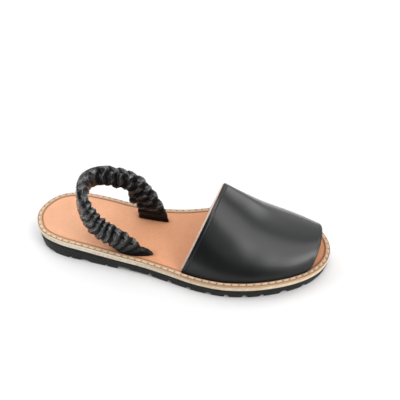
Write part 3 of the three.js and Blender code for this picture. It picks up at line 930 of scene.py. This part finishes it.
def gathers(place, size, share, lean_share, seed, count):
    """Crossing folds: plane waves summed as complex numbers, whose angle is the phase of a
    fold and whose size, 1 on average, is its strength. Their lengths scatter about the
    pitch and their directions about the strap's own, so folds bend, fork and run out."""
    draw = np.random.default_rng(seed)
    pitch = share * (size.gather_pitch / MM)
    lean = lean_share * size.gather_slant
    total = 0
    for _ in range(count):
        wave = 2 * np.pi / (pitch * draw.uniform(*FOLD_SCATTER))
        aside = np.array([1, *draw.uniform(-lean, lean, 2)])
        total = total + np.exp(1j * (wave * (place @ aside) + draw.uniform(0, 2 * np.pi)))
    return np.angle(total), np.abs(total) / (MEAN_SUM * np.sqrt(count))


def ruffles(size, mm, w, f, gather):
    """Height of the sleeve's ruffles over the strap, and what its polish needs: how far up
    a fold a point is, how sharp its crease, and how tightly the sleeve is drawn there.
    w and f run from -1 to 1 over the strap's width and its face. A ruffle is a power of
    the size of the sine of half its phase, round on top and sharp between. Wide lumps lie
    under it, and fine creases with sharp tops over it. All are weaker on the outward face,
    round the back of the heel and along the lower edge there, where the sleeve is drawn
    tight. Near the slits they give way to even pleats."""
    start, share = LONG_FOLDS
    place = np.stack([mm - share * np.maximum(mm - start, 0), w * STRAP_WIDTH / MM / 2,
                      f * STRAP_THICKNESS / MM / 2], -1)
    phase, force = gathers(place, size, *RUFFLES)
    wide_phase, wide_force = gathers(place, size, *LUMPS)
    fine_phase, fine_force = gathers(place, size, *CREASES)
    fold = np.abs(np.sin(phase / 2)) ** 0.9
    lump = np.abs(np.sin(wide_phase / 2))
    crease = (1 - np.abs(np.cos(fine_phase / 2))) ** 1.5
    behind, back = between(mm, *HEEL_ZONE), between(mm, *BACK_ZONE)
    outward = ramp(f, -0.5, 0.5)
    drawn = np.maximum(behind * outward, back)
    loose = 1 - outward * (0.2 + 0.62 * behind)
    loose = loose * (1 - 0.55 * ramp(w, 0.0, 0.9) * behind) * (1 - 0.4 * back)
    swell = RUFFLE_RISE * (fold - 0.42) * np.minimum(force, 1.3) ** 0.5
    swell = swell + LUMP_RISE * (lump - 0.62) * np.minimum(wide_force, 1.3)
    fine = CREASE_RISE * (crease - 0.2) * np.minimum(fine_force, 1.4)
    fine = fine * (0.15 + 0.85 * f ** 2) * (1 - 0.4 * drawn)
    gather = np.maximum(gather, 0.3)
    pleats = PLEAT_RISE * np.abs(np.sin(np.pi * mm / PLEAT_PITCH + 0.6 * w)) * (1 - gather)
    height = size.gather_depth * (gather * (swell * loose + fine) + pleats)
    return height, fold, crease * np.minimum(fine_force, 1.2), drawn


def strap_shade(mm, f, up, above, fold, crease, drawn):
    """Painted shade of the sleeve: three quarters for its polish and the last quarter for
    thin ridges with a painted highlight. The polish sets the gloss, and in the colour it is a
    painted highlight that leaves painted shade in the folds. It grows up a fold, on faces that
    look up or outward, and the ridges lie on the tops of folds and creases. Both fade towards
    the slits. Up is the height of the outward direction, and above the height over the insole."""
    clear = ramp(above, 3 * MM, 13 * MM)
    inner_leg = ramp(mm, *INNER_LEG)
    sideways = np.maximum(0.9 * ramp(f, 0.0, 0.5) * ramp(up, -0.35, 0.05),
                          0.4 * ramp(up, -0.3, 0.1))
    seen = np.maximum(np.maximum(ramp(up, 0.0, 0.4), sideways), 0.7 * between(mm, *BACK_ZONE))
    # Polish: gloss, and a painted highlight in the colour on faces that look up or outward
    polish = ramp(np.maximum(fold, 0.62 * drawn), 0.25, 0.85) * seen * (0.35 + 0.65 * clear)
    polish = np.maximum(polish, 0.3 * inner_leg * clear * ramp(fold, 0.25, 0.85))
    # Ridges: thin painted highlights on the tops of folds and creases
    ridge = np.maximum(ramp(fold, 0.96, 1.0), ramp(crease, 0.58, 0.95)) * ramp(fold, 0.3, 0.7)
    ridge = ridge * np.maximum(ramp(up, -0.5, 0.2), 0.85 * inner_leg) * (0.1 + 0.9 * clear)
    return 0.75 * np.maximum(polish, ridge) + 0.25 * ridge


def make_strap(size):
    """Gathered sleeve: a pressed oval carried along the strap's path, whose width and
    thickness are powers of a cosine and a sine, raised by the ruffles. Bell curves shape
    a tongue at its outer end and a lobe on one edge. The direction that a point looks in
    is square to both ways along the surface."""
    fine = np.linspace(0, 1, 400)
    arc = arc_lengths(strap_frame(fine)[0])
    s = np.linspace(0, arc[-1], 801)
    u = np.interp(s, arc, fine)
    turn = np.linspace(0, 2 * np.pi, 97)[:-1]
    centre, wide, square, half, thick = strap_frame(u)
    mm, angle = np.meshgrid(s / MM, turn, indexing="ij")
    w, f = np.cos(angle), np.sin(angle)
    gather = smooth(STRAP_SECTION, "gather", u)[:, None]
    height, fold, crease, drawn = ruffles(size, mm, w, f, gather)
    edge = bells(mm, END_TONGUE) * np.maximum(w * np.sign(wide[0, 0]), 0)
    edge = MM * (edge + bells(mm, EDGE_LOBE) * np.maximum(w, 0) ** 2)
    oval = blend(0.74, 0.5, np.clip(smooth(STRAP_SECTION, "level", u), 0, 1))[:, None]
    x = np.sign(w) * (np.abs(w) ** oval * (half[:, None] + height) + edge)
    y = np.sign(f) * np.abs(f) ** oval * (thick[:, None] + height)
    sleeve = centre[:, None] + x[..., None] * wide[:, None] + y[..., None] * square[:, None]
    round_it = np.roll(sleeve, -1, axis=1) - np.roll(sleeve, 1, axis=1)
    up = unit(np.cross(round_it, np.gradient(sleeve, axis=0)))[..., 2]
    up = up * np.sign(np.mean(up * (sleeve - centre[:, None])[..., 2]))
    above = sleeve[..., 2] - seat(sleeve[..., 0]) - INSOLE_THICKNESS
    shade = strap_shade(mm, f, up, above, fold, crease, drawn)
    skin = Skin()
    uv = closed(np.stack([mm, angle], -1), (0, 2 * np.pi))
    skin.add(sleeve, 0, around=True, uv=uv, shade=shade)
    skin.plug(sleeve[0])
    skin.plug(sleeve[-1])
    strap = skin.piece("strap_sleeve", [strap_leather(size.colour)], crease=75)
    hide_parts("back_strap")


def scaled(colour, share):
    """A colour times a number, darker below 1 and lighter above."""
    return [c * share for c in colour]


def rubber(colour):
    """Matt moulded rubber with a fine grain and slanting streaks, dusty near the floor."""
    f = Finish("moulded_rubber", {"Specular IOR Level": 0.22})
    along, rise = f.uv()
    grain = f.noise(0.7 * MM, 4)
    streaks = f.strokes(along * 0.5 - rise * 0.45, rise * 0.12)
    cloud = f.noise(9 * MM, 2)
    dust, scuff = (0.055, 0.045, 0.036), (0.03, 0.032, 0.029)
    tone = f.mix((1 - rise.ramp(0.3, 4.0)) * 0.35, colour, dust)
    tone = f.mix(cloud.ramp(0.4, 0.7) * 0.3, tone, scaled(colour, 1.8))
    tone = f.mix(streaks.ramp(0.45, 0.75) * 0.35, tone, scuff)
    return f.wear(tone, 0.5 + cloud * 0.18, grain * 0.05 + cloud * 0.1 + streaks * 0.12)


def tread_rubber(colour):
    """Underside: the same rubber with fine ribs that follow the chevron."""
    f = Finish("tread_rubber", {"Specular IOR Level": 0.35})
    forward, aside = f.parts(f.place())
    ribs = ((forward + aside.size() * GROOVE_CHEVRON) / RIB_PITCH * (2 * np.pi)).sine()
    patches = f.noise(6 * MM, 4)
    dust = (0.07, 0.062, 0.052)
    tone = f.mix(patches.ramp(0.45, 0.75) * 0.6, colour, dust)
    return f.wear(tone, 0.62 + patches * 0.2, ribs.ramp(-0.4, 0.4) * 0.25)


def cut_leather(colour):
    """Cut and sanded leather edge: slanting knife marks, darker lines where the layer meets
    its neighbours, and a painted highlight that makes it paler at the heel."""
    f = Finish("cut_leather_edge", {"Specular IOR Level": 0.3})
    along, rise = f.uv()
    marks = f.strokes(along * 0.55 - rise * 1.3, rise * 0.9)
    patches = f.noise(14 * MM, 2)
    forward, _ = f.parts(f.place())
    # Pale: a painted highlight at the heel, where the lamp on the left falls
    pale, cream, meeting_dark = (0.98, 0.9, 0.74), (0.97, 0.85, 0.66), (0.3, 0.16, 0.08)
    tone = f.mix(forward.ramp(-0.1, 0.05), pale, colour)
    tone = f.mix((1 - marks.ramp(0.35, 0.7)) * 0.3, tone, scaled(colour, 0.3))
    tone = f.mix(patches.ramp(0.45, 0.75) * 0.35, tone, cream)
    # Darker lines where the layer meets its neighbours
    meeting_lines = rise.ramp(0.93, 0.995) * 0.35 + (1 - rise.ramp(0.0, 0.08)) * 0.5
    tone = f.mix(meeting_lines, tone, meeting_dark)
    return f.wear(tone, 0.62 + marks * 0.15, marks * 0.12)


def welt_leather(colour):
    """Rim leather: a dark channel with needle holes between the stitches, a darker line on
    the top's outer edge, painted shade along the inner edge, deeper at the toe, and a tan
    side that a painted highlight makes paler at the heel."""
    f = Finish("welt_leather", {"Specular IOR Level": 0.35})
    number, depth = f.uv()
    grain = f.noise(0.9 * MM, 4)
    cloud = f.noise(11 * MM, 2)
    line = 1 - (depth - STITCH_INSET / MM).size().ramp(0.5, 1.0)
    hole = (number.wrapped() - 0.5).size().ramp(0.42, 0.48) * line
    pale, channel, pierced = (0.88, 0.7, 0.5), (0.5, 0.3, 0.16), (0.1, 0.045, 0.02)
    tone = f.mix(cloud.ramp(0.35, 0.7), scaled(colour, 0.85), colour)
    tone = f.mix(grain.ramp(0.5, 0.8) * 0.25, tone, pale)
    tone = f.mix(line * 0.35, tone, channel)
    tone = f.mix(hole * 0.85, tone, pierced)
    forward, _ = f.parts(f.place())
    side = 1 - depth.ramp(0.3, 0.5)
    front = forward.ramp(-0.07, 0.03)
    # The side is tan towards the toe; paler at the heel is a painted highlight where the lamp on
    # the left falls
    front_side, heel_side = (0.6, 0.37, 0.21), (0.95, 0.83, 0.62)
    tone = f.mix(side * front, tone, front_side)
    tone = f.mix(side * (1 - front), tone, heel_side)
    # Darker line on the top's outer edge
    top_edge = depth.ramp(0.12, 0.3) * (1 - depth.ramp(0.75, 1.05))
    # Painted shade along the inner edge, in the gap beside the footbed, deeper at the toe
    toe = forward.ramp(0.095, 0.11)
    inner_edge = depth.ramp(2.6, 3.2) * (0.45 + toe * 0.25) + depth.ramp(3.5, 3.9) * 0.3
    top_line_colour, gap_shade_colour = (0.22, 0.1, 0.045), (0.3, 0.13, 0.055)
    tone = f.mix(top_edge * 0.85, tone, top_line_colour)
    tone = f.mix(inner_edge, tone, gap_shade_colour)
    return f.wear(tone, 0.55 + grain * 0.15, grain * 0.06 - hole * 0.4)


def thread_finish(colour):
    """Waxed cream thread with a fine twist."""
    f = Finish("stitching_thread", {"Roughness": 0.75, "Specular IOR Level": 0.25})
    twist = f.noise(0.35 * MM, 2)
    tone = f.mix(twist.ramp(0.3, 0.7), scaled(colour, 0.8), colour)
    return f.wear(tone, None, twist * 0.12)


def footbed_leather(colour, dark):
    """Smooth tan leather with faint pores and clouds, dyed darker at the slits, with painted
    shade there, along the edge and towards the toe, and a painted sheen that makes the heel paler."""
    f = Finish("footbed_leather", {"Specular IOR Level": 0.4})
    cloud = f.noise(22 * MM, 3, 0.55)
    fine = f.noise(1.6 * MM, 4, 0.6)
    pores = f.cells(0.9 * MM)
    forward, _ = f.parts(f.place())
    # Paler at the heel: a painted sheen where the lamps at the back and left catch the leather
    heel = (0.8, 0.42, 0.245)
    tone = f.mix(forward.ramp(-0.12, 0.0), heel, scaled(colour, 0.95))
    # Darker towards the toe: a painted shadow under the vamp
    tone = f.mix(forward.ramp(0.06, 0.12) * 0.4, tone, dark)
    tone = f.mix(cloud.ramp(0.35, 0.7) * 0.12, tone, dark)
    tone = f.mix(fine.ramp(0.45, 0.75) * 0.2, tone, dark)
    # The piece's painted shade: dye and a painted strap shadow at the slits, and painted shade
    # along the edge
    tone = f.mix(f.shade().ramp(0.0, 1.0) * 0.9, tone, dark)
    return f.wear(tone, 0.46 + fine * 0.14, fine * 0.07 + pores * 0.05)


def vamp_leather(size):
    """Smooth black leather with a soft gloss, a fine grain and a row of dark stitches in
    the crease beside the throat."""
    f = Finish("vamp_leather", {"Specular IOR Level": 0.25, "Coat Roughness": 0.25})
    throat, around = f.uv()
    grain = f.cells(0.75 * MM)
    fine = f.noise(0.5 * MM, 3)
    cloud = f.noise(30 * MM, 2)
    tone = f.mix(cloud.ramp(0.35, 0.7) * 0.5, size.colour, scaled(size.colour, 1.5))
    seam = 1 - (throat - size.crease_place / MM).size().ramp(0.15, 0.5)
    stitch = (1 - ((around * (MM / STITCH_SPACING)).wrapped() - 0.5).size().ramp(0.3, 0.42)) * seam
    rough = 0.28 + fine * 0.06 + cloud * 0.05 + stitch * 0.2
    return f.wear(tone, rough, grain * 0.035 + fine * 0.02 + stitch * 0.25, f.shade() * 0.82)


def cut_black(colour):
    """Dyed cut edge of the black leather."""
    f = Finish("dyed_edge", {"Specular IOR Level": 0.4})
    grain = f.noise(0.6 * MM, 3)
    tone = f.mix(grain.ramp(0.3, 0.8), scaled(colour, 0.6), scaled(colour, 1.4))
    return f.wear(tone, 0.5 + grain * 0.2, grain * 0.08)


def suede(colour):
    """Lining leather with a short nap."""
    f = Finish("lining_leather", {"Specular IOR Level": 0.2, "Sheen Weight": 0.15})
    nap = f.noise(0.8 * MM, 4, 0.65)
    cloud = f.noise(12 * MM, 2)
    tone = f.mix(nap.ramp(0.3, 0.7), scaled(colour, 0.85), colour)
    tone = f.mix(cloud.ramp(0.4, 0.7) * 0.3, tone, scaled(colour, 0.8))
    return f.wear(tone, 0.78 + nap * 0.15, nap * 0.08)


def strap_leather(colour):
    """Thin black leather, glossier on the ruffles' tops, with a painted highlight that makes
    them a little lighter, painted grey highlights on the ridges and painted shade in the folds."""
    f = Finish("strap_leather", {"Specular IOR Level": 0.12, "Coat Roughness": 0.13})
    top = f.shade()
    grain = f.cells(0.6 * MM)
    fine = f.noise(0.45 * MM, 3)
    # Painted shade in the folds, a painted highlight on the tops and painted grey highlights on
    # the ridges
    fold_shade, ridge_highlight = (0.005, 0.005, 0.0052), (0.1, 0.103, 0.11)
    tone = f.mix(top, fold_shade, colour)
    tone = f.mix(top.ramp(0.72, 1.0) * 0.8, tone, ridge_highlight)
    tone = f.mix(fine.ramp(0.5, 0.8) * 0.2, tone, scaled(colour, 1.8))
    return f.wear(tone, 0.36 - top * 0.1 + fine * 0.08, grain * 0.02 + fine * 0.015,
                  top.ramp(0.0, 0.8))


def make_floor(size):
    """Flat grid of paper round the origin, a little brighter than its light makes it."""
    half = size.floor_size / 2
    steps = np.linspace(-half, half, 5)
    x, y = np.meshgrid(steps, steps, indexing="ij")
    points = np.stack([x, y, 0 * x], -1).reshape(-1, 3)
    index = np.arange(x.size).reshape(x.shape)
    quads = np.stack([index[:-1, :-1], index[1:, :-1], index[1:, 1:], index[:-1, 1:]], -1)
    mesh = bpy.data.meshes.new("floor")
    mesh.from_pydata(points.tolist(), [], quads.reshape(-1, 4).tolist())
    f = Finish("floor_paper", {"Roughness": 0.85, "Specular IOR Level": 0.1,
                               "Emission Color": (1.0, 1.0, 1.0, 1.0),
                               "Emission Strength": size.floor_glow})
    tone = f.mix(f.noise(40 * MM, 2), size.floor_colour, scaled(size.floor_colour, 0.995))
    mesh.materials.append(f.wear(tone))
    floor = bpy.data.objects.new("floor", mesh)
    bpy.context.scene.collection.objects.link(floor)


def make_sky(size):
    """Studio seen in the gloss: a dim room and broad lamps. A lamp is full within its core
    and fades over its reach, by the cosine of the angle from its middle. Behind the shoe
    the camera sees plain white."""
    world = bpy.data.worlds.new("studio")
    world.use_nodes = True
    sky = Graph(world.node_tree)
    look = sky.node("ShaderNodeTexCoord", output="Generated")
    light = size.dim_light
    for *angles, strength in zip(*SKY_LAMPS.values()):
        turn, rise, core, reach = np.radians(angles)
        towards = (np.sin(turn) * np.cos(rise), np.cos(turn) * np.cos(rise), np.sin(rise))
        near = sky.node("ShaderNodeVectorMath", {"operation": "DOT_PRODUCT"},
                        {0: look, 1: towards}, output="Value")
        light = near.ramp(np.cos(reach), np.cos(core)) * (strength * size.sky_light) + light
    seen = sky.node("ShaderNodeLightPath", output="Is Camera Ray")
    light = light * (1 - seen) + seen
    dome = sky.tree.nodes["Background"]
    dome.inputs["Color"].default_value = (1.0, 1.0, 1.0, 1.0)
    sky.tree.links.new(light.socket, dome.inputs["Strength"])
    bpy.context.scene.world = world


def aimed(name, data, place, target):
    """Lamp or camera at a place, turned to face a target."""
    thing = bpy.data.objects.new(name, data)
    thing.location = place
    thing.rotation_euler = (target - place).to_track_quat("-Z", "Y").to_euler()
    bpy.context.scene.collection.objects.link(thing)
    return thing


def make_stage(size):
    """Pale floor, soft sky, one lamp and the camera at the photograph's angle."""
    bpy.context.scene.view_settings.view_transform = "Standard"
    make_floor(size)
    make_sky(size)
    lamp = bpy.data.lights.new("key_left", "AREA")
    lamp.size, lamp.energy = KEY_SIDE, size.key_power
    aimed("key_left", lamp, KEY_PLACE, KEY_TARGET)
    lens = bpy.data.cameras.new("camera")
    lens.lens, lens.sensor_width = size.lens, SENSOR_WIDTH
    camera = aimed("camera", lens, Vector(size.camera_place), Vector(size.camera_aim))
    bpy.context.scene.camera = camera


def a_length(name, default, description):
    """A length that a user may change."""
    return FloatProperty(name=name, default=default, description=description, unit="LENGTH",
                         min=0.0, precision=5)


def a_colour(name, default, description):
    """A colour that a user may change."""
    return FloatVectorProperty(name=name, default=default, description=description,
                               subtype="COLOR", min=0.0, max=1.0)


def a_number(name, default, description, **kind):
    """A plain number that a user may change."""
    return FloatProperty(name=name, default=default, description=description, **kind)


class OutsoleSize(bpy.types.PropertyGroup):
    """Sizes and colour of the rubber sole."""
    lug_edge: a_length("Lug edge", 0.6 * MM, "Radius of the rubber's lower edge")
    colour: a_colour("Rubber", (0.008, 0.0088, 0.008), "Colour of the rubber")


class MidsoleSize(bpy.types.PropertyGroup):
    """Sizes and colour of the leather layer."""
    edge_radius: a_length("Edge radius", 0.4 * MM, "Radius of the cut leather's edges")
    colour: a_colour("Cut leather", (0.93, 0.76, 0.54), "Colour of the cut edge")


class WeltSize(bpy.types.PropertyGroup):
    """Sizes and colours of the rim and its stitches."""
    edge_radius: a_length("Edge radius", 0.4 * MM, "Radius of the rim's edges")
    channel_depth: a_length("Channel", 0.3 * MM, "Depth of the stitching channel")
    stitch_pitch: a_length("Stitch pitch", 5.85 * MM, "Distance from one stitch to the next")
    thread_radius: a_length("Thread", 0.6 * MM, "Half the thread's width")
    thread_slant: a_length("Slant", 0.3 * MM, "Sideways run of one stitch")
    thread_share: a_number("Stitch share", 0.76, "Share of the pitch that a stitch covers")
    colour: a_colour("Rim leather", (0.72, 0.51, 0.33), "Colour of the rim")
    thread_colour: a_colour("Thread", (0.86, 0.66, 0.5), "Colour of the thread")


class InsoleSize(bpy.types.PropertyGroup):
    """Sizes and colours of the footbed."""
    edge_radius: a_length("Edge radius", 0.5 * MM, "Radius of the footbed's edge")
    slit_sink: a_length("Slit sink", 0.9 * MM, "How far the leather sinks at a slit")
    # The edge and toe lines are painted shade; the dark colour paints that shade, the dye and
    # painted strap shadow at the slits, and the mottling
    edge_line: a_length("Edge line", 0.85 * MM, "Width of the dark line along the edge")
    toe_line: a_length("Toe line", 1.1 * MM, "Width of that line at the toe")
    colour: a_colour("Footbed", (0.785, 0.366, 0.192), "Colour of the footbed")
    dark_colour: a_colour("Footbed shade, dye and mottling", (0.36, 0.13, 0.05), "Colour beside the slits")


class VampSize(bpy.types.PropertyGroup):
    """Sizes and colours of the leather band and its lining."""
    roll_depth: a_length("Roll", 0.45 * MM, "How far the leather turns down at the throat")
    bead_height: a_length("Bead", 0.12 * MM, "Height of the thin bead beside the crease")
    bead_place: a_length("Bead place", 2.05 * MM, "Distance of the bead from the throat")
    crease_depth: a_length("Crease", 0.4 * MM, "Depth of the stitched crease")
    crease_place: a_length("Crease place", 2.7 * MM, "Distance of the crease from the throat")
    lining_share: a_number("Lining", 0.0135, "How far the lining passes the throat, in lengths")
    colour: a_colour("Vamp", (0.007, 0.0075, 0.008), "Colour of the black leather")
    lining_colour: a_colour("Lining", (0.55, 0.34, 0.28), "Colour of the lining")
    edge_colour: a_colour("Lining edge", (0.86, 0.68, 0.6), "Colour of the lining's cut edge")


class StrapSize(bpy.types.PropertyGroup):
    """Sizes and colour of the gathered sleeve."""
    gather_pitch: a_length("Gather pitch", 5.0 * MM, "Distance from one ruffle to the next")
    gather_depth: a_length("Gather depth", 1.9 * MM, "Height of the ruffles")
    gather_slant: a_number("Gather slant", 0.5, "Most that a ruffle leans across the strap")
    colour: a_colour("Strap", (0.009, 0.0093, 0.0101), "Colour of the gathered leather")


class StageSize(bpy.types.PropertyGroup):
    """Floor, lights and camera."""
    floor_size: a_length("Floor", 8.0, "Side of the floor")
    floor_colour: a_colour("Floor", (0.81, 0.81, 0.815), "Colour of the floor")
    floor_glow: a_number("Floor glow", 0.07, "Light that the floor adds of itself")
    sky_light: a_number("Sky", 0.91, "Strength of the broad lamps")
    dim_light: a_number("Dim light", 0.022, "Strength of the light between the lamps")
    key_power: a_number("Key light", 0.7, "Power of the light on the left", unit="POWER")
    lens: a_number("Lens", 41.3, "Focal length in millimetres", unit="CAMERA")
    camera_place: FloatVectorProperty(name="Camera", default=(0.0569, -0.2692, 0.30085),
                                      description="Place of the camera", subtype="TRANSLATION")
    camera_aim: FloatVectorProperty(name="Aim", default=(0.0083, 0.0628, 0.00095),
                                    description="Point in the middle of the picture",
                                    subtype="TRANSLATION")


class SANDAL_OT_stage(bpy.types.Operator):
    """Floor, lights and camera"""
    bl_idname = "sandal.stage"
    bl_label = "Stage"
    bl_options = {"REGISTER", "UNDO"}

    def execute(self, context):
        make_stage(context.scene.sandal_stage)
        return {"FINISHED"}


class SANDAL_OT_outsole(bpy.types.Operator):
    """Rubber sole with its tread"""
    bl_idname = "sandal.outsole"
    bl_label = "Outsole"
    bl_options = {"REGISTER", "UNDO"}

    def execute(self, context):
        make_outsole(context.scene.sandal_outsole)
        return {"FINISHED"}


class SANDAL_OT_midsole(bpy.types.Operator):
    """Cut leather layer"""
    bl_idname = "sandal.midsole"
    bl_label = "Midsole"
    bl_options = {"REGISTER", "UNDO"}

    def execute(self, context):
        make_midsole(context.scene.sandal_midsole)
        return {"FINISHED"}


class SANDAL_OT_welt(bpy.types.Operator):
    """Rim and its stitches"""
    bl_idname = "sandal.welt"
    bl_label = "Welt"
    bl_options = {"REGISTER", "UNDO"}

    def execute(self, context):
        make_welt(context.scene.sandal_welt)
        make_stitches(context.scene.sandal_welt)
        return {"FINISHED"}


class SANDAL_OT_insole(bpy.types.Operator):
    """Leather footbed"""
    bl_idname = "sandal.insole"
    bl_label = "Insole"
    bl_options = {"REGISTER", "UNDO"}

    def execute(self, context):
        make_insole(context.scene.sandal_insole)
        return {"FINISHED"}


class SANDAL_OT_vamp(bpy.types.Operator):
    """Leather band and its lining"""
    bl_idname = "sandal.vamp"
    bl_label = "Vamp"
    bl_options = {"REGISTER", "UNDO"}

    def execute(self, context):
        make_vamp(context.scene.sandal_vamp)
        return {"FINISHED"}


class SANDAL_OT_strap(bpy.types.Operator):
    """Gathered sleeve"""
    bl_idname = "sandal.strap"
    bl_label = "Back strap"
    bl_options = {"REGISTER", "UNDO"}

    def execute(self, context):
        make_strap(context.scene.sandal_strap)
        return {"FINISHED"}


GROUPS = {
    "sandal_outsole": OutsoleSize, "sandal_midsole": MidsoleSize, "sandal_welt": WeltSize,
    "sandal_insole": InsoleSize, "sandal_vamp": VampSize, "sandal_strap": StrapSize,
    "sandal_stage": StageSize,
}
OPERATORS = (SANDAL_OT_stage, SANDAL_OT_outsole, SANDAL_OT_midsole, SANDAL_OT_welt,
             SANDAL_OT_insole, SANDAL_OT_vamp, SANDAL_OT_strap)


class SANDAL_PT_panel(bpy.types.Panel):
    """Sizes and buttons of the sandal's pieces."""
    bl_label = "Sandal"
    bl_space_type = "VIEW_3D"
    bl_region_type = "UI"
    bl_category = "Sandal"

    def draw(self, context):
        for item in OPERATORS:
            self.layout.operator(item.bl_idname)
        for group in GROUPS:
            box = self.layout.box()
            for name in GROUPS[group].__annotations__:
                box.prop(getattr(context.scene, group), name)


def register():
    """Adds the classes, and their sizes to the scene."""
    for item in (*GROUPS.values(), *OPERATORS, SANDAL_PT_panel):
        bpy.utils.register_class(item)
    for group, kind in GROUPS.items():
        setattr(bpy.types.Scene, group, PointerProperty(type=kind))


def unregister():
    """Takes the sizes and the classes away."""
    for group in GROUPS:
        delattr(bpy.types.Scene, group)
    for item in (*GROUPS.values(), *OPERATORS, SANDAL_PT_panel):
        bpy.utils.unregister_class(item)


def main():
    """Makes the stage and every piece through their operators."""
    register()
    for item in OPERATORS:
        category, name = item.bl_idname.split(".")
        getattr(getattr(bpy.ops, category), name)()


if __name__ == "__main__":
    main()
